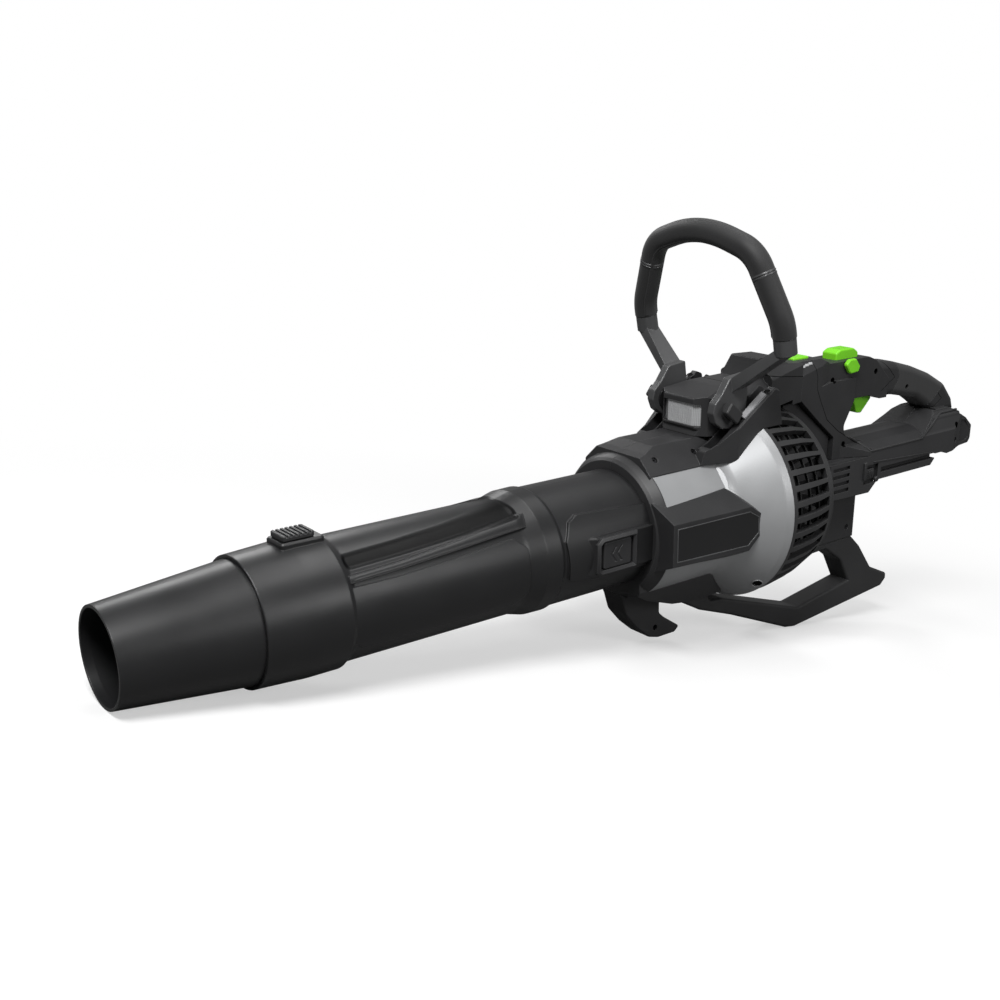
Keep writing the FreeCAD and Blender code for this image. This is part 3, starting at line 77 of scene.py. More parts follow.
class Signal:
    """A socket of a material: arithmetic adds Math nodes, and add() adds any other node."""

    def __init__(self, tree, socket=None):
        self.tree = tree
        self.socket = socket

    def add(self, kind, settings=None, sockets=None, output=0):
        node = self.tree.nodes.new("ShaderNode" + kind)
        for name, value in (settings or {}).items():
            setattr(node, name, value)
        for name, value in (sockets or {}).items():
            self.feed(node.inputs[name], value)
        return Signal(self.tree, node.outputs[output])

    def feed(self, target, value):
        if isinstance(value, Signal):
            self.tree.links.new(value.socket, target)
        else:
            target.default_value = value

    def maths(self, operation, *values, clamp=False):
        return self.add("Math", {"operation": operation, "use_clamp": clamp}, dict(enumerate(values)))

    def __add__(self, other):
        return self.maths("ADD", self, other)

    def __sub__(self, other):
        return self.maths("SUBTRACT", self, other)

    def __rsub__(self, other):
        return self.maths("SUBTRACT", other, self)

    def __mul__(self, other):
        return self.maths("MULTIPLY", self, other)

    def __truediv__(self, other):
        return self.maths("DIVIDE", self, other)

    __radd__ = __add__
    __rmul__ = __mul__

    def clamped(self):
        return self.maths("ADD", self, 0.0, clamp=True)

    def between(self, low, high):
        """0 at low, 1 at high, smooth in between."""
        return self.add("MapRange", {"interpolation_type": "SMOOTHSTEP"},
                        {"Value": self, "From Min": low, "From Max": high})

    def wave(self, pitch):
        """Rises from 0 to 1 over pitch and falls back over the next."""
        return self.maths("PINGPONG", self, pitch) / pitch

    def strongest(self, masks):
        chosen = masks[0]
        for mask in masks[1:]:
            chosen = self.maths("MAXIMUM", chosen, mask)
        return chosen

    def noise(self, place, scale, detail=2.0, roughness=0.5):
        return self.add("TexNoise", None, {"Vector": place, "Scale": scale, "Detail": detail,
                                           "Roughness": roughness})

    def axes(self, place):
        parts = self.add("SeparateXYZ", None, {0: place}).socket.node.outputs
        return [Signal(self.tree, part) for part in parts]

    def stretched(self, place, scale):
        return self.add("Mapping", None, {"Vector": place, "Scale": scale})

    def colour_mix(self, factor, first, second):
        return self.add("Mix", {"data_type": "RGBA"}, {0: factor, 6: first, 7: second}, 2)


def shade(colour, times=1.0, plus=0.0):
    return tuple(min(1.0, part * times + plus) for part in colour) + (1.0,)


def new_material(name):
    material = bpy.data.materials.new(name)
    material.use_nodes = True
    return material, material.node_tree.nodes["Principled BSDF"], Signal(material.node_tree)


def show(material, signal, surface):
    """Makes a mix of shaders the material's surface."""
    signal.feed(material.node_tree.nodes["Material Output"].inputs["Surface"], surface)


def blower_place(signal):
    """Millimetres in the blower's own axes."""
    place = signal.add("TexCoord", output="Object")
    return signal.add("Mapping", {"vector_type": "TEXTURE"},
                      {"Vector": place, "Location": origin, "Rotation": (0, tilt, 0), "Scale": (mm, mm, mm)})


def rounded_normal(signal, radius_mm):
    """The normal with its edges eased."""
    return signal.add("Bevel", {"samples": 6}, {"Radius": radius_mm * mm})


def edge_mask(signal, eased):
    """Mask of the edges where the eased normal leaves the plain one."""
    sharpness = 7.0
    plain = signal.add("NewGeometry", output="Normal")
    alike = signal.add("VectorMath", {"operation": "DOT_PRODUCT"}, {0: eased, 1: plain}, 1)
    return ((1.0 - alike) * sharpness).clamped()


def relief(signal, shader, strength, depth_mm, height, eased=None):
    """Bumps of that depth on the eased normal."""
    sockets = {"Strength": strength, "Distance": depth_mm * mm, "Height": height}
    if eased:
        sockets["Normal"] = eased
    signal.feed(shader.inputs["Normal"], signal.add("Bump", None, sockets))


def drawn_line(signal, place, corners, half_width):
    """Mask of a narrow groove whose corners are given in the side view, in millimetres."""
    x, _, z = signal.axes(place)
    nearest = []
    for (x0, z0), (x1, z1) in zip(corners, corners[1:]):
        run, rise = x1 - x0, z1 - z0
        square = run * run + rise * rise
        share = ((x - x0) * (run / square) + (z - z0) * (rise / square)).clamped()
        off_x = x - x0 - share * run
        off_z = z - z0 - share * rise
        nearest.append(off_x * off_x + off_z * off_z)
    distance = nearest[0]
    for other in nearest[1:]:
        distance = signal.maths("MINIMUM", distance, other)
    return 1.0 - distance.between((half_width * 0.4) ** 2, half_width ** 2)


def drawn_well_shade(signal, place, well_x, well_z, radius):
    """Mask of painted shade for a round screw well in the side view, in millimetres."""
    x, _, z = signal.axes(place)
    off = (x - well_x) * (x - well_x) + (z - well_z) * (z - well_z)
    return 1.0 - off.between((radius * 0.8) ** 2, radius ** 2)


# Patterns of the moulded finishes, in millimetres or per millimetre
cloud_scale = 0.022
scuff_stretch = (0.06, 0.5, 0.5)
flake_scale = 4.5
groove_half, groove_depth = 0.45, 0.35
flute_height = 1.1
# Black for parting lines and for painted shade in hollows and screw wells
gap_and_shade_black = (0.0008, 0.0008, 0.0008, 1)


def moulded(name, colour, roughness, grain_mm, grain_depth, edge_mm, wear_and_highlight, mottle=0.10, metallic=0.0, coat=0.0,
            coat_roughness=0.2, sheen=0.0, specular=0.4, flake=0.0, lines=(), flutes=0.0, valleys_with_shade=(), shaded_wells=()):
    """Moulded plastic, rubber or paint: fine grain, faint mottling, scuffs, and rubbed edges that are also
    lightened as painted highlights.

    lines are parting lines, flutes the pitch of shallow flutes whose crests get a painted highlight,
    valleys_with_shade broad hollows that also get painted shade, and shaded_wells screw wells painted dark as
    their shade."""
    material, shader, signal = new_material(name)
    place = blower_place(signal)
    eased = rounded_normal(signal, edge_mm)
    edge = edge_mask(signal, eased)
    cloud = signal.noise(place, cloud_scale, 3.0)
    grain = signal.noise(place, 1.0 / grain_mm, 2.0, 0.6)
    scuff = signal.noise(signal.stretched(place, scuff_stretch), 1.0, 4.0, 0.7).between(0.60, 0.78)
    tone = (cloud.between(0.3, 0.7) * 0.75 + grain * 0.25).clamped()
    body = signal.colour_mix(tone, shade(colour, 1.0 - mottle), shade(colour, 1.0 + mottle))
    # Edges lightened partly as wear and partly as a painted highlight where edges catch light.
    rubbed_and_highlit = (edge * wear_and_highlight * cloud.between(0.30, 0.55)).clamped()
    body = signal.colour_mix(rubbed_and_highlit, body, shade(colour, 2.6, 0.03))
    body = signal.colour_mix(scuff * 0.12, body, shade(colour, 1.5, 0.012))
    if flake:
        sparkle = signal.noise(place, flake_scale, 1.0).between(0.60, 0.72)
        body = signal.colour_mix(sparkle * flake, body, shade(colour, 1.35))
    height = grain * grain_depth
    gaps_and_shade = []
    # Painted shade: in each hollow the colour darkens and partly turns to black, besides the bump.
    for corners, half_width, depth in valleys_with_shade:
        valley_with_shade = drawn_line(signal, place, corners, half_width)
        body = signal.colour_mix(valley_with_shade * 0.8, body, shade(colour, 0.25))
        height = height - valley_with_shade * depth
        gaps_and_shade.append(valley_with_shade * 0.7)
    for corners in lines:
        groove = drawn_line(signal, place, corners, groove_half)
        height = height - groove * groove_depth
        gaps_and_shade.append(groove)
    # Painted shade: a dark disc round each screw well.
    for well in shaded_wells:
        gaps_and_shade.append(drawn_well_shade(signal, place, *well))
    # Flute crests get a painted highlight in their colour as well as their bump.
    if flutes:
        _, y, _ = signal.axes(place)
        flute_with_highlight = signal.maths("PINGPONG", y, flutes).between(flutes * 0.55, flutes * 0.95)
        height = height + flute_with_highlight * flute_height
        body = signal.colour_mix(flute_with_highlight * 0.3, body, shade(colour, 1.8, 0.01))
    signal.feed(shader.inputs["Base Color"], body)
    rough = roughness + (cloud - 0.5) * 0.16 + (grain - 0.5) * 0.10 + scuff * 0.07 - edge * 0.05
    signal.feed(shader.inputs["Roughness"], rough.clamped())
    relief(signal, shader, 0.8, 1.0, height, eased)
    shader.inputs["Metallic"].default_value = metallic
    shader.inputs["Coat Weight"].default_value = coat
    shader.inputs["Coat Roughness"].default_value = coat_roughness
    shader.inputs["Sheen Weight"].default_value = sheen
    shader.inputs["Specular IOR Level"].default_value = specular
    # The black shader fills the parting lines and also the painted shade of hollows and screw wells.
    if gaps_and_shade:
        gap_and_shade = signal.add("BsdfDiffuse", None, {"Color": gap_and_shade_black})
        plain = Signal(material.node_tree, shader.outputs[0])
        show(material, signal, signal.add("MixShader", None, {0: signal.strongest(gaps_and_shade), 1: plain, 2: gap_and_shade}))
    return material


def metal(name, colour, roughness, brushed, edge_mm=0.25, tarnish=0.25):
    """Bare metal with drawn or brushed lines and a little tarnish."""
    material, shader, signal = new_material(name)
    place = blower_place(signal)
    eased = rounded_normal(signal, edge_mm)
    strokes = signal.noise(signal.stretched(place, brushed), 4.0, 3.0, 0.6)
    cloud = signal.noise(place, 0.12, 3.0)
    body = signal.colour_mix(cloud.between(0.35, 0.75) * tarnish, shade(colour, 1.05), shade(colour, 0.55))
    body = signal.colour_mix(strokes.between(0.45, 0.7) * 0.25, body, shade(colour, 1.3))
    signal.feed(shader.inputs["Base Color"], body)
    rough = roughness + (strokes - 0.5) * 0.25 + (cloud - 0.5) * 0.15
    signal.feed(shader.inputs["Roughness"], rough.clamped())
    relief(signal, shader, 0.4, 0.02, strokes, eased)
    shader.inputs["Metallic"].default_value = 1.0
    return material


def ribbed_lens():
    """Lamp cover with fine upright prisms in front of a bright reflector; each prism carries painted light and
    shade, and the edges a painted highlight.
    """
    prism_pitch, row_pitch = 0.75, 2.6
    material, shader, signal = new_material("ribbed_lens")
    place = blower_place(signal)
    eased = rounded_normal(signal, 0.4)
    edge = edge_mask(signal, eased)
    _, y, z = signal.axes(place)
    prisms = y.wave(prism_pitch)
    rows = z.wave(row_pitch)
    # Painted light and shade across each prism, lighter at its crest.
    lines = (prisms.between(0.35, 0.75) * 0.65 + rows.between(0.7, 0.95) * 0.12).clamped()
    body = signal.colour_mix(lines, (0.40, 0.405, 0.41, 1), (0.62, 0.63, 0.64, 1))
    # Painted highlight on the edges.
    body = signal.colour_mix(edge * 0.5, body, (0.75, 0.76, 0.77, 1))
    signal.feed(shader.inputs["Base Color"], body)
    signal.feed(shader.inputs["Roughness"], 0.14 + prisms * 0.12)
    relief(signal, shader, 0.5, 0.2, prisms, eased)
    shader.inputs["Transmission Weight"].default_value = 0.2
    shader.inputs["IOR"].default_value = 1.49
    shader.inputs["Coat Weight"].default_value = 0.5
    return material


def circuit_board():
    """Solder mask with traces and bright pads."""
    material, shader, signal = new_material("circuit_board")
    place = blower_place(signal)
    cells = signal.add("TexVoronoi", {"feature": "DISTANCE_TO_EDGE"}, {"Vector": place, "Scale": 0.28})
    traces = 1.0 - cells.between(0.02, 0.06)
    pads = signal.noise(place, 0.5, 2.0).between(0.62, 0.66)
    body = signal.colour_mix(traces * 0.6, (0.012, 0.085, 0.035, 1), (0.05, 0.22, 0.10, 1))
    body = signal.colour_mix(pads, body, (0.55, 0.56, 0.52, 1))
    signal.feed(shader.inputs["Base Color"], body)
    signal.feed(shader.inputs["Roughness"], 0.35 + pads * 0.1)
    signal.feed(shader.inputs["Metallic"], pads * 0.8)
    relief(signal, shader, 0.5, 0.05, traces + pads)
    return material


def wound_copper():
    """Enamelled wire on the stator's teeth, with the iron between; each wire is painted bright on its crest and
    dark at its sides as light and shade.
    """
    wire_pitch = 0.35
    material, shader, signal = new_material("wound_copper")
    place = blower_place(signal)
    x, _, _ = signal.axes(place)
    wires_and_shading = x.wave(wire_pitch)
    sheets = signal.noise(signal.stretched(place, (3.0, 0.02, 0.02)), 1.0, 1.0)
    # Painted shading: each wire darkens towards its sides and brightens at its crest.
    body = signal.colour_mix(wires_and_shading, (0.30, 0.10, 0.035, 1), (0.78, 0.36, 0.16, 1))
    body = signal.colour_mix(sheets.between(0.5, 0.6) * 0.4, body, (0.20, 0.19, 0.18, 1))
    signal.feed(shader.inputs["Base Color"], body)
    signal.feed(shader.inputs["Roughness"], 0.28 + wires_and_shading * 0.15)
    relief(signal, shader, 0.7, 0.15, wires_and_shading)
    shader.inputs["Metallic"].default_value = 0.9
    return material


# Parting lines of the rear handle and the console, the hollow beside the tube's rib, which gets painted shade,
# and screw wells as (x, z, radius), painted dark as their shade, all in side view
handle_joint = [(-684, 140), (-684, 136), (-690.6, 121), (-692, 106), (-713.5, 69), (-734.7, 53), (-798, 18)]
grip_panel = [(-850, 112), (-850, 102.7), (-883, 93.8), (-916, 79.8), (-931.6, 70), (-940, 62.5),
              (-920.5, 51.6), (-903.4, 56.1)]
grip_chevron = [(-818.4, 124), (-818.4, 121.2), (-840.5, 100.9), (-813.9, 87.7)]
console_joint = [(-596, 134.5), (-686, 121.4)]
console_panel = [(-560, 131.5), (-548, 121), (-516, 117.5)]
rib_valley_with_shade = [(-86, 43.0), (-134, 44.2), (-191, 46.6), (-262, 51.0)]
valley_half, valley_depth = 5.6, 2.2
handle_wells = [(-722, 112, 3.7), (-800, 113, 3.7), (-746, 36, 3.7), (-866, 86, 3.7)]
mount_wells = [(-950, 31, 4.0)]
tray_flutes = 4.2

# Finishes
black = (0.0230, 0.0230, 0.0240)
black_shell = moulded("black_shell", black, roughness=0.46, grain_mm=0.5, grain_depth=0.018, edge_mm=0.9,
                      wear_and_highlight=0.55)
handle_black = moulded("handle_black", black, roughness=0.47, grain_mm=0.5, grain_depth=0.022, edge_mm=0.9,
                       wear_and_highlight=0.5, lines=(handle_joint, grip_panel, grip_chevron), shaded_wells=handle_wells)
console_black = moulded("console_black", black, roughness=0.45, grain_mm=0.5, grain_depth=0.018, edge_mm=0.9,
                        wear_and_highlight=0.55, lines=(console_joint, console_panel))
mount_black = moulded("mount_black", black, roughness=0.46, grain_mm=0.5, grain_depth=0.02, edge_mm=0.9,
                      wear_and_highlight=0.5, flutes=tray_flutes, shaded_wells=mount_wells)
black_tube = moulded("black_tube", (0.0125, 0.0126, 0.0132), roughness=0.37, grain_mm=0.4, grain_depth=0.012,
                     edge_mm=1.2, wear_and_highlight=0.35, mottle=0.06, valleys_with_shade=((rib_valley_with_shade, valley_half, valley_depth),))
black_frame = moulded("black_frame", (0.0250, 0.0250, 0.0258), roughness=0.50, grain_mm=0.6, grain_depth=0.03,
                      edge_mm=1.1, wear_and_highlight=0.5)
# Lighter than the shell black as painted light on the guard's lit slats.
guard_black_with_painted_light = moulded("guard_black_with_painted_light", (0.0300, 0.0300, 0.0310), roughness=0.44, grain_mm=0.5, grain_depth=0.02,
                     edge_mm=0.5, wear_and_highlight=0.55)
silver_bell = moulded("silver_bell", (0.345, 0.350, 0.356), roughness=0.42, grain_mm=0.45, grain_depth=0.010,
                      edge_mm=1.0, wear_and_highlight=0.15, mottle=0.04, metallic=0.35, flake=0.35)
badge_black = moulded("badge_black", (0.006, 0.006, 0.0065), roughness=0.20, grain_mm=0.9, grain_depth=0.004,
                      edge_mm=0.4, wear_and_highlight=0.2, coat=0.5, coat_roughness=0.1)
# Partly silver trim, partly brightened as a painted highlight along the badge's outline.
badge_rim_highlight = moulded("badge_rim_highlight", (0.14, 0.142, 0.145), roughness=0.32, grain_mm=0.4, grain_depth=0.006,
                    edge_mm=0.3, wear_and_highlight=0.2, metallic=0.5)
soft_grip = moulded("soft_grip", (0.0190, 0.0190, 0.0195), roughness=0.60, grain_mm=0.7, grain_depth=0.035,
                    edge_mm=0.6, wear_and_highlight=0.2, sheen=0.12, specular=0.35)
seal_rubber = moulded("seal_rubber", (0.010, 0.010, 0.010), roughness=0.72, grain_mm=0.6, grain_depth=0.03,
                      edge_mm=0.4, wear_and_highlight=0.1, sheen=0.1)
lime_control = moulded("lime_control", (0.185, 0.63, 0.02), roughness=0.38, grain_mm=0.5, grain_depth=0.012,
                       edge_mm=0.9, wear_and_highlight=0.18, mottle=0.06)
cast_black = moulded("cast_black", (0.075, 0.0755, 0.077), roughness=0.34, grain_mm=0.35, grain_depth=0.012,
                     edge_mm=1.0, wear_and_highlight=0.35, mottle=0.06, metallic=0.3, flake=0.3, specular=0.5)
inner_plastic = moulded("inner_plastic", (0.0085, 0.0085, 0.009), roughness=0.45, grain_mm=0.4,
                        grain_depth=0.02, edge_mm=0.5, wear_and_highlight=0.25)
switch_black = moulded("switch_black", (0.011, 0.011, 0.0115), roughness=0.35, grain_mm=0.5, grain_depth=0.012,
                       edge_mm=0.4, wear_and_highlight=0.2)
pale_bar = moulded("pale_bar", (0.42, 0.425, 0.43), roughness=0.35, grain_mm=0.5, grain_depth=0.01,
                   edge_mm=0.3, wear_and_highlight=0.1)
# Near black with little shine: painted shade on the floors of recesses.
hole_shade_black = moulded("hole_shade_black", (0.0018, 0.0018, 0.0019), roughness=0.75, grain_mm=0.5, grain_depth=0.02,
                     edge_mm=0.3, wear_and_highlight=0.05, specular=0.1)
strip_steel = metal("strip_steel", (0.17, 0.17, 0.174), roughness=0.60, brushed=(0.02, 1.5, 0.02), edge_mm=0.4)
ground_steel = metal("ground_steel", (0.62, 0.62, 0.63), roughness=0.22, brushed=(1.5, 0.05, 0.05))
spring_wire = metal("spring_wire", (0.50, 0.50, 0.52), roughness=0.26, brushed=(1.0, 1.0, 1.0), edge_mm=0.1)
black_screw = metal("black_screw", (0.08, 0.08, 0.085), roughness=0.34, brushed=(1.0, 1.0, 1.0), edge_mm=0.2,
                    tarnish=0.4)

finish_of = {
    black_shell: ["housing_left", "housing_right", "nozzle_lock_button", "tube_latch_left", "tube_latch_right",
                  "rear_column", "battery_latch"],
    handle_black: ["handle_left", "handle_right"],
    console_black: ["console"],
    mount_black: ["battery_mount"],
    black_tube: ["nozzle", "blower_tube"],
    black_frame: ["skid", "front_foot", "bale_bolts"],
    guard_black_with_painted_light: ["intake_guard"],
    silver_bell: ["bell_left", "bell_right"],
    badge_black: ["side_plate_left", "side_plate_right"],
    strip_steel: ["shoulder_strip_left", "shoulder_strip_right"],
    soft_grip: ["bale_grip", "handle_grip"],
    seal_rubber: ["tube_seal"],
    lime_control: ["top_paddle", "cruise_lever", "boost_button", "trigger"],
    cast_black: ["bale_frame"],
    inner_plastic: ["fan_duct", "tail_cone", "motor_end_cap", "fan_rotor", "fan_spinner"],
    switch_black: ["trigger_switch", "boost_switch", "bale_washers", "battery_terminals"],
    ground_steel: ["bearing_front", "bearing_rear", "motor_shaft", "fan_nut", "control_pins"],
    spring_wire: ["nozzle_lock_spring", "tube_latch_spring_left", "tube_latch_spring_right", "trigger_spring",
                  "paddle_spring", "battery_latch_spring"],
    black_screw: ["housing_screws", "motor_screws", "frame_screws", "handle_screws"],
    ribbed_lens(): ["light_lens"],
    circuit_board(): ["light_board", "controller_board"],
    wound_copper(): ["motor_stator", "motor_magnet"],
}
for finish, names in finish_of.items():
    for name in names:
        slots = nodes[name].data.materials
        if len(slots) == 0:
            slots.append(finish)
        for index in range(len(slots)):
            slots[index] = finish


# Piece helpers; shapes are drawn in the blower's own millimetres

weld_reach = 0.0005
smooth_angle = math.radians(35.0)
crisp_angle = 0.5  # radians


def settle(shape, name, body, finish):
    """Places a drawn shape, makes it an object and hands it to the body it rides on."""
    bmesh.ops.remove_doubles(shape, verts=shape.verts, dist=weld_reach)
    bmesh.ops.recalc_face_normals(shape, faces=shape.faces)
    bmesh.ops.transform(shape, matrix=blower_axes, verts=shape.verts)
    mesh = bpy.data.meshes.new(name)
    shape.to_mesh(mesh)
    shape.free()
    piece = bpy.data.objects.new(name, mesh)
    bpy.context.scene.collection.objects.link(piece)
    mesh.materials.append(finish)
    mesh.shade_smooth()
    mesh.set_sharp_from_angle(angle=smooth_angle)
    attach(piece, body)


def other_side(shape):
    """The same shape on the blower's right."""
    bmesh.ops.scale(shape, vec=(1, -1, 1), verts=shape.verts)
    return shape


def both_sides(draw, name, body, finish):
    settle(draw(), name + "_left", body, finish)
    settle(other_side(draw()), name + "_right", body, finish)


def ease_edges(shape, edges, width, segments=2):
    bmesh.ops.bevel(shape, geom=edges, offset=width, offset_type="OFFSET", segments=segments, profile=0.5,
                    affect="EDGES", material=-1, clamp_overlap=True)


def closed_outline(shape, corners):
    """A ring of edges through the corners, as (its points, its edges)."""
    verts = [shape.verts.new(corner) for corner in corners]
    return verts, [shape.edges.new((verts[n - 1], verts[n])) for n in range(len(verts))]


def only(kind, parts):
    return [part for part in parts if isinstance(part, kind)]


def turned(shape, profile, steps=48):
    """Adds a closed ring round X from (along, radius) corners."""
    verts, edges = closed_outline(shape, [(reach, 0, radius) for reach, radius in profile])
    bmesh.ops.spin(shape, geom=verts + edges, cent=(0, 0, 0), axis=(1, 0, 0), dvec=(0, 0, 0),
                   angle=math.tau, steps=steps, use_merge=True)
    return shape


def aimed(shape, place, direction):
    """Turns a shape drawn on X to point along direction and sets it at place."""
    swing = Vector((1, 0, 0)).rotation_difference(Vector(direction).normalized())
    matrix = Matrix.Translation(Vector(place)) @ swing.to_matrix().to_4x4()
    bmesh.ops.transform(shape, matrix=matrix, verts=shape.verts)
    return shape


def plate(corners, low, high, edge, border=0.0, segments=2):
    """A prism from Y low to Y high on an outline in side view; border keeps only a rim of that width."""
    shape = bmesh.new()
    face = shape.faces.new([shape.verts.new((x, low, z)) for x, z in corners])
    face.normal_update()
    if border:
        bmesh.ops.inset_region(shape, faces=[face], thickness=border, use_boundary=True, use_even_offset=True)
        bmesh.ops.delete(shape, geom=[face], context="FACES_ONLY")
    grown = bmesh.ops.extrude_face_region(shape, geom=shape.faces[:])
    bmesh.ops.translate(shape, vec=(0, high - low, 0), verts=only(bmesh.types.BMVert, grown["geom"]))
    bmesh.ops.recalc_face_normals(shape, faces=shape.faces)
    crisp = [side for side in shape.edges if all(abs(end.co.y - high) < 1e-4 for end in side.verts)
             and side.calc_face_angle(0.0) > crisp_angle]
    ease_edges(shape, crisp, edge, segments)
    return shape


def rounded_blocks(places, size, edge, roll_degrees=0.0):
    """Equal blocks with eased edges at several places, rolled round X."""
    shape = bmesh.new()
    roll = Matrix.Rotation(math.radians(roll_degrees), 3, "X")
    for place in places:
        made = bmesh.ops.create_cube(shape, size=1.0)["verts"]
        bmesh.ops.scale(shape, vec=size, verts=made)
        bmesh.ops.rotate(shape, cent=(0, 0, 0), matrix=roll, verts=made)
        bmesh.ops.translate(shape, vec=place, verts=made)
    ease_edges(shape, shape.edges[:], edge)
    return shape


def drawn_bead(points, radius):
    """A bead of round section laid along corner points."""
    curve = bpy.data.curves.new("bead", "CURVE")
    curve.dimensions = "3D"
    curve.bevel_depth = radius
    curve.bevel_resolution = 2
    curve.use_fill_caps = True
    line = curve.splines.new("POLY")
    line.points.add(len(points) - 1)
    for point, place in zip(line.points, points):
        point.co = (*place, 1)
    holder = bpy.data.objects.new("bead", curve)
    shape = bmesh.new()
    shape.from_mesh(bpy.data.meshes.new_from_object(holder))
    bpy.data.objects.remove(holder)
    return shape


# Fan housing and air tube

def guard_hoops():
    """Three hoops inside the intake guard."""
    hoop_width = 1.6
    shape = bmesh.new()
    for x, inner, outer in ((-585.0, 95.4, 98.6), (-603.0, 93.0, 96.2), (-621.0, 88.6, 92.2)):
        turned(shape, [(x, inner), (x + hoop_width, inner), (x + hoop_width, outer), (x, outer)], 96)
    return shape


def socket_rim(outer, place, direction, flatten=1.0):
    """Raised lip round a recess."""
    shape = turned(bmesh.new(), [(-0.6, outer), (0.5, outer), (0.8, outer - 0.3), (0.7, outer - 0.9),
                                 (-0.6, outer - 1.0)])
    bmesh.ops.scale(shape, vec=(1, 1, flatten), verts=shape.verts)
    return aimed(shape, place, direction)


def socket_floor(outer, place, direction, flatten=1.0):
    """Bottom of a recess, dished towards its middle; its near-black finish is painted shade for the recess's
    depth.
    """
    shape = turned(bmesh.new(), [(-0.5, 0.05), (0.1, 0.05), (0.35, outer * 0.5), (0.3, outer), (-0.5, outer)])
    bmesh.ops.scale(shape, vec=(1, 1, flatten), verts=shape.verts)
    return aimed(shape, place, direction)


strip_end, strip_end_way, strip_end_flat = (-571.4, 53.8, 124.7), (0.56, 0, 0.83), 0.8
bell_well, bell_well_way = (-554.6, 70.7, -73.4), (0.54, 0.61, -0.59)


def strip_wedge():
    """Steel strip on the shoulder wall; its top leans outwards."""
    low, high = Vector((-537.1, 101.4)), Vector((-567.8, 122.0))
    slope = (high - low).normalized()
    rise = Vector((slope.y, -slope.x))
    section = [(50.9, -0.4), (50.9, 4.2), (51.6, 4.6), (57.0, 1.5), (57.2, 0.9), (57.2, -0.4)]
    shape = bmesh.new()
    corners = [(low.x + rise.x * up, y, low.y + rise.y * up) for y, up in section]
    face = shape.faces.new([shape.verts.new(corner) for corner in corners])
    grown = bmesh.ops.extrude_face_region(shape, geom=[face])
    bmesh.ops.translate(shape, vec=(high.x - low.x, 0, high.y - low.y),
                        verts=only(bmesh.types.BMVert, grown["geom"]))
    bmesh.ops.recalc_face_normals(shape, faces=shape.faces)
    ease_edges(shape, [edge for edge in shape.edges if edge.calc_face_angle(0.0) > crisp_angle], 0.4)
    return shape


def latch_bezel():
    """Chamfered frame round the tube latch."""
    return plate([(-334.5, -15), (-334.5, 13), (-340, 18.2), (-384.5, 18.2), (-384.5, -18.2), (-338, -18.2)],
                 low=61.5, high=67.4, edge=3.0, border=4.6, segments=1)


def tube_rib():
    """Chamfered crown on the long rib of the air tube."""
    tube_radius, shortest_run = 57.7, 20
    low_line = [(-80.6, 30.2), (-128, 31.7), (-192, 35.1), (-266.4, 39.4)]
    high_line = [(-80.6, 34.6), (-131, 36.2), (-196, 40.9), (-271, 47.8)]
    shape = bmesh.new()
    rows = []
    for line in (low_line, high_line):
        rows.append([shape.verts.new((x, math.sqrt(tube_radius ** 2 - z * z), z)) for x, z in line])
    ladder = [shape.edges.new(pair) for row in rows for pair in zip(row, row[1:])]
    bmesh.ops.bridge_loops(shape, edges=ladder)
    lengthways = [edge for edge in shape.edges
                  if abs(edge.verts[0].co.x - edge.verts[1].co.x) > shortest_run]
    bmesh.ops.subdivide_edges(shape, edges=lengthways, cuts=6)
    bmesh.ops.recalc_face_normals(shape, faces=shape.faces)
    if sum(face.normal.y for face in shape.faces) < 0:
        bmesh.ops.reverse_faces(shape, faces=shape.faces)
    bmesh.ops.inset_region(shape, faces=shape.faces[:], thickness=1.3, depth=0.9, use_boundary=True,
                           use_even_offset=True)
    return shape


def badge_border():
    """Thin rim round the bare badge plate, a silver trim made brighter as a painted highlight of its lit
    chamfer.
    """
    return plate([(-415.15, 18.2), (-516.95, 16.61), (-530.96, 8.68), (-531.9, -8.75), (-516.95, -19.85),
                  (-416.08, -15.89)], low=87.4, high=88.35, edge=0.25, border=1.0)


# Loop handle; its plane's axes lie across it, up it and out of it

loop_foot = (-543, 0, 188)
loop_lean = math.radians(12.3)
loop_plane = Matrix.Translation(loop_foot) @ Matrix((
    (0, math.sin(loop_lean), math.cos(loop_lean)), (1, 0, 0), (0, math.cos(loop_lean), -math.sin(loop_lean))
)).to_4x4()


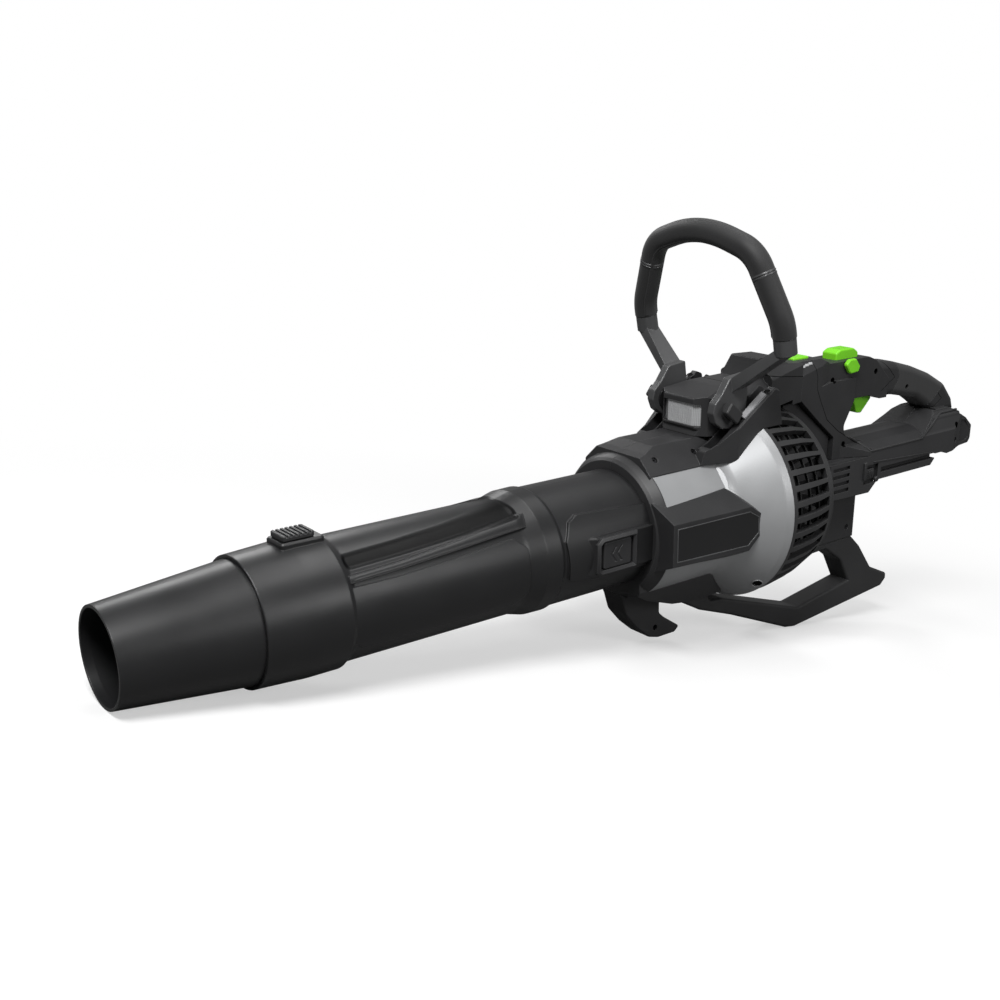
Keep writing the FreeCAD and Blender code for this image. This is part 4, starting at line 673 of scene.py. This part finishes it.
def grip_inlay():
    """Channel with two lips that runs round the inside of the loop."""
    half_width, first_up = 95, 2.5
    section_corners = [(-54, 11.2), (-49, 12.55), (-41, 12.7), (-35, 12.1), (-18, 12.0), (0, 12.0), (18, 12.0),
                       (35, 12.1), (41, 12.7), (49, 12.55), (54, 11.2), (30, 10.6), (-30, 10.6)]
    straight_radius_bend = [(2.2, 52, 22.4), (46.8, 36, 49), (13.9, 120, 37.2), (13.9, 36, 49),
                            (46.8, 52, 22.4), (2.2, 0, 0)]
    shape = bmesh.new()
    corners = []
    for degrees, radius in section_corners:
        angle = math.radians(degrees)
        corners.append((half_width - radius * math.cos(angle), first_up, radius * math.sin(angle)))
    verts, edges = closed_outline(shape, corners)
    bmesh.ops.contextual_create(shape, geom=edges)
    section = verts + edges
    place, heading = Vector((half_width, first_up)), Vector((0, 1))
    for straight, radius, degrees in straight_radius_bend:
        drawn = bmesh.ops.extrude_edge_only(shape, edges=only(bmesh.types.BMEdge, section))["geom"]
        ends = only(bmesh.types.BMVert, drawn)
        section = ends + [edge for edge in only(bmesh.types.BMEdge, drawn)
                          if all(end in ends for end in edge.verts)]
        bmesh.ops.translate(shape, vec=(heading * straight).to_3d(), verts=ends)
        place = place + heading * straight
        if radius:
            inward = Vector((-heading.y, heading.x))
            centre = place + inward * radius
            bent = bmesh.ops.spin(shape, geom=section, cent=centre.to_3d(), axis=(0, 0, 1), dvec=(0, 0, 0),
                                  angle=math.radians(degrees), steps=max(6, int(degrees / 3)))
            section = bent["geom_last"]
            swing = Matrix.Rotation(math.radians(degrees), 2)
            place = centre + swing @ (place - centre)
            heading = swing @ heading
    bmesh.ops.contextual_create(shape, geom=only(bmesh.types.BMEdge, section))
    bmesh.ops.transform(shape, matrix=loop_plane, verts=shape.verts)
    return shape


def joint_band(side):
    """Band over the joint of the loop's grip lengths; side is 1 on the left and -1 on the right."""
    band_across, band_up = 76, 61
    shape = turned(bmesh.new(), [(-2.4, 11.0), (-2.4, 11.9), (-1.7, 12.35), (-0.6, 12.4), (-0.35, 11.75),
                                 (0.35, 11.75), (0.6, 12.4), (1.7, 12.35), (2.4, 11.9), (2.4, 11.0)])
    aimed(shape, (side * band_across, band_up, 0), (-side * 0.381, 0.925, 0))
    bmesh.ops.transform(shape, matrix=loop_plane, verts=shape.verts)
    return shape


# Rear handle and battery mount

def charge_bars():
    """Three pale bars beside the boost button."""
    return rounded_blocks([(-667.2, 20.85, 134.0), (-673.6, 20.35, 135.0), (-680.0, 19.85, 136.0)],
                          size=(5.9, 1.2, 2.8), edge=0.3, roll_degrees=27)


def tray_rim():
    """Raised lip along the tray's side, up its rear slope."""
    return drawn_bead([(-757.5, 22.0, 42.0), (-771.0, 22.3, 34.6), (-779.0, 37.2, 25.6), (-876.0, 37.2, 25.6),
                       (-897.0, 33.8, 35.9), (-924.0, 27.2, 47.9), (-958.0, 27.2, 47.9)], radius=1.5)


def rail_ridge():
    """Long ridge on the battery rail, with the rail's slope."""
    shape = rounded_blocks([(0, 0.05, 0)], size=(116, 1.7, 1.8), edge=0.5)
    rail_slope = Matrix.Rotation(math.radians(-3.4), 4, "Y")
    bmesh.ops.transform(shape, matrix=Matrix.Translation((-842, 37.6, 8.4)) @ rail_slope, verts=shape.verts)
    return shape


def catch_ribs():
    """Grip ribs on the battery catch."""
    return rounded_blocks([(x, 37.1, -2.0) for x in (-785.2, -781.6, -778.0, -774.4)], size=(1.6, 1.6, 9.0),
                          edge=0.4)


def catch_post():
    """Upright guard beside the catch, with the pivot knob below it."""
    shape = plate([(-766.4, -7), (-766.4, 13), (-769.6, 14.4), (-770.6, 12), (-770.6, -7)],
                  low=37.0, high=40.2, edge=0.7)
    knob = turned(bmesh.new(), [(-0.6, 0.3), (2.4, 0.3), (2.4, 2.4), (1.8, 3.2), (0.6, 3.4), (-0.6, 3.4)], 24)
    aimed(knob, (-791.6, 37.5, -9.3), (0, 1, 0))
    knob_mesh = bpy.data.meshes.new("knob_part")
    knob.to_mesh(knob_mesh)
    knob.free()
    shape.from_mesh(knob_mesh)
    bpy.data.meshes.remove(knob_mesh)
    return shape


settle(guard_hoops(), "guard_hoops", "machine", inner_plastic)
settle(grip_inlay(), "bale_grip_inlay", "bale", soft_grip)
# The grip bands wear the lighter cast black as a painted highlight on the joint's edges.
settle(joint_band(1), "bale_grip_band_left", "bale", cast_black)
settle(joint_band(-1), "bale_grip_band_right", "bale", cast_black)
settle(charge_bars(), "charge_bars", "machine", pale_bar)
both_sides(lambda: socket_rim(4.6, strip_end, strip_end_way, strip_end_flat), "strip_socket_rim", "machine",
           black_shell)
both_sides(lambda: socket_floor(3.8, strip_end, strip_end_way, strip_end_flat), "strip_socket", "machine",
           hole_shade_black)
both_sides(lambda: socket_rim(6.0, bell_well, bell_well_way), "bell_well_rim", "machine",
           silver_bell)
both_sides(lambda: socket_floor(5.2, bell_well, bell_well_way), "bell_well", "machine",
           hole_shade_black)
both_sides(strip_wedge, "shoulder_wedge", "machine", strip_steel)
both_sides(latch_bezel, "tube_latch_bezel", "machine", black_shell)
both_sides(tube_rib, "tube_rib", "machine", black_tube)
both_sides(badge_border, "badge_border", "machine", badge_rim_highlight)
both_sides(rail_ridge, "rail_ridge", "machine", black_shell)
both_sides(tray_rim, "tray_rim", "machine", black_shell)
settle(catch_ribs(), "battery_catch_ribs", "battery_catch", black_shell)
settle(catch_post(), "battery_catch_post", "machine", black_shell)


# Copies of the springs, which keep their CAD length and place

def spring_wire_of(name):
    """A copy of the CAD spring, which hides the CAD spring, and the spring's lowest and highest corners."""
    spring = bpy.data.objects.new(name + "_wire", nodes[name].data.copy())
    bpy.context.scene.collection.objects.link(spring)
    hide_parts(name)
    low, high = (Vector(corner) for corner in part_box(name))
    return spring, low, high


def shortening_spring(name, axis, travel):
    """Fixed to the machine at its CAD length along axis; travel, in millimetres, is not used."""
    spring, low, high = spring_wire_of(name)
    length = abs((high - low).dot(axis))
    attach(spring, "machine")
    1.0 - travel * mm / length
    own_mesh(spring)


def swung_spring(name):
    """A copy of the CAD spring with its placement baked into its mesh; it does not turn with the lever."""
    spring, low, high = spring_wire_of(name)
    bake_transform(spring)


forward = Vector((1, 0, 0))
skyward = Vector((0, 0, 1))
shortening_spring("nozzle_lock_spring", forward, 4.93)
shortening_spring("tube_latch_spring_left", left, 2.0)
shortening_spring("tube_latch_spring_right", left, 2.0)
swung_spring("trigger_spring")
shortening_spring("paddle_spring", skyward, 3.5)
shortening_spring("battery_latch_spring", left, 2.5)


# Camera at the photograph's place, in the blower's own axes

eye = Vector((405.7, 874.7, 392.1))
look_right = Vector((-0.791, 0.6115, 0.0)).normalized()
look_back = Vector((0.5847, 0.7565, 0.293)).normalized()
look_up = look_back.cross(look_right).normalized()
look_right = look_up.cross(look_back)
camera = bpy.data.objects.new("camera", bpy.data.cameras.new("camera"))
bpy.context.scene.collection.objects.link(camera)
camera.data.lens = 45.07
camera.data.sensor_width = 36.0
camera.data.clip_end = 50.0
camera.matrix_world = (Matrix.Translation(blower_axes @ eye)
                       @ (turn @ Matrix((look_right, look_up, look_back)).transposed()).to_4x4())
bpy.context.scene.camera = camera


# Studio: pale floor, white surround, soft lamps

def soft_lamp(name, spot, target, size, watts):
    data = bpy.data.lights.new(name, "AREA")
    data.shape = "RECTANGLE"
    data.size, data.size_y = size
    data.energy = watts
    lamp = bpy.data.objects.new(name, data)
    bpy.context.scene.collection.objects.link(lamp)
    lamp.location = spot
    lamp.rotation_mode = "QUATERNION"
    lamp.rotation_quaternion = (Vector(spot) - Vector(target)).to_track_quat("Z", "Y")


def pale_floor():
    """Seen pale under the object and white further out; it reflects less light than it shows."""
    half_side, drop = 12.0, 0.0005
    shadow_reach, white_reach = 0.45, 1.15
    shape = bmesh.new()
    bmesh.ops.create_grid(shape, x_segments=1, y_segments=1, size=half_side)
    mesh = bpy.data.meshes.new("floor")
    shape.to_mesh(mesh)
    shape.free()
    floor = bpy.data.objects.new("floor", mesh)
    floor.location = (0, 0, -drop)
    bpy.context.scene.collection.objects.link(floor)
    material, shader, signal = new_material("floor_white")
    shader.inputs["Base Color"].default_value = (0.16, 0.16, 0.16, 1)
    shader.inputs["Roughness"].default_value = 0.9
    shader.inputs["Specular IOR Level"].default_value = 0.05
    plain = Signal(material.node_tree, shader.outputs[0])
    seen = signal.add("BsdfDiffuse", None, {"Color": (0.88, 0.88, 0.88, 1)})
    glow = signal.add("Emission", None, {"Color": (1, 1, 1, 1), "Strength": 1.0})
    place = signal.add("TexCoord", output="Object")
    reach = signal.add("VectorMath", {"operation": "LENGTH"}, {0: place}, 1)
    glowing = 0.5 + reach.between(shadow_reach, white_reach) * 0.5
    shown = signal.add("MixShader", None, {0: glowing, 1: seen, 2: glow})
    rays = signal.add("LightPath", output="Is Camera Ray")
    show(material, signal, signal.add("MixShader", None, {0: rays, 1: plain, 2: shown}))
    mesh.materials.append(material)


def white_surround():
    """White to the camera, dimmer as a light, in between in reflections and through the lens."""
    world = bpy.data.worlds.new("surround")
    bpy.context.scene.world = world
    world.use_nodes = True
    signal = Signal(world.node_tree)
    seen = signal.add("LightPath", output="Is Camera Ray")
    mirrored = signal.add("LightPath", output="Is Glossy Ray")
    through = signal.add("LightPath", output="Is Transmission Ray")
    background = world.node_tree.nodes["Background"]
    background.inputs["Color"].default_value = (1, 1, 1, 1)
    signal.feed(background.inputs["Strength"], (0.14 + seen * 0.86 + mirrored * 0.10 + through * 0.5).clamped())


pale_floor()
white_surround()
middle = (0.0, 0.0, 0.16)
soft_lamp("key", (1.25, 0.75, 1.70), middle, (0.9, 0.5), 46.0)
soft_lamp("top", (-0.25, 0.05, 2.15), middle, (1.6, 0.6), 16.0)
soft_lamp("fill", (-0.6, 2.2, 1.2), middle, (0.9, 0.9), 16.0)
soft_lamp("far_side", (-0.1, -2.1, 1.5), middle, (1.2, 0.6), 16.0)
bpy.context.scene.view_settings.view_transform = "Standard"
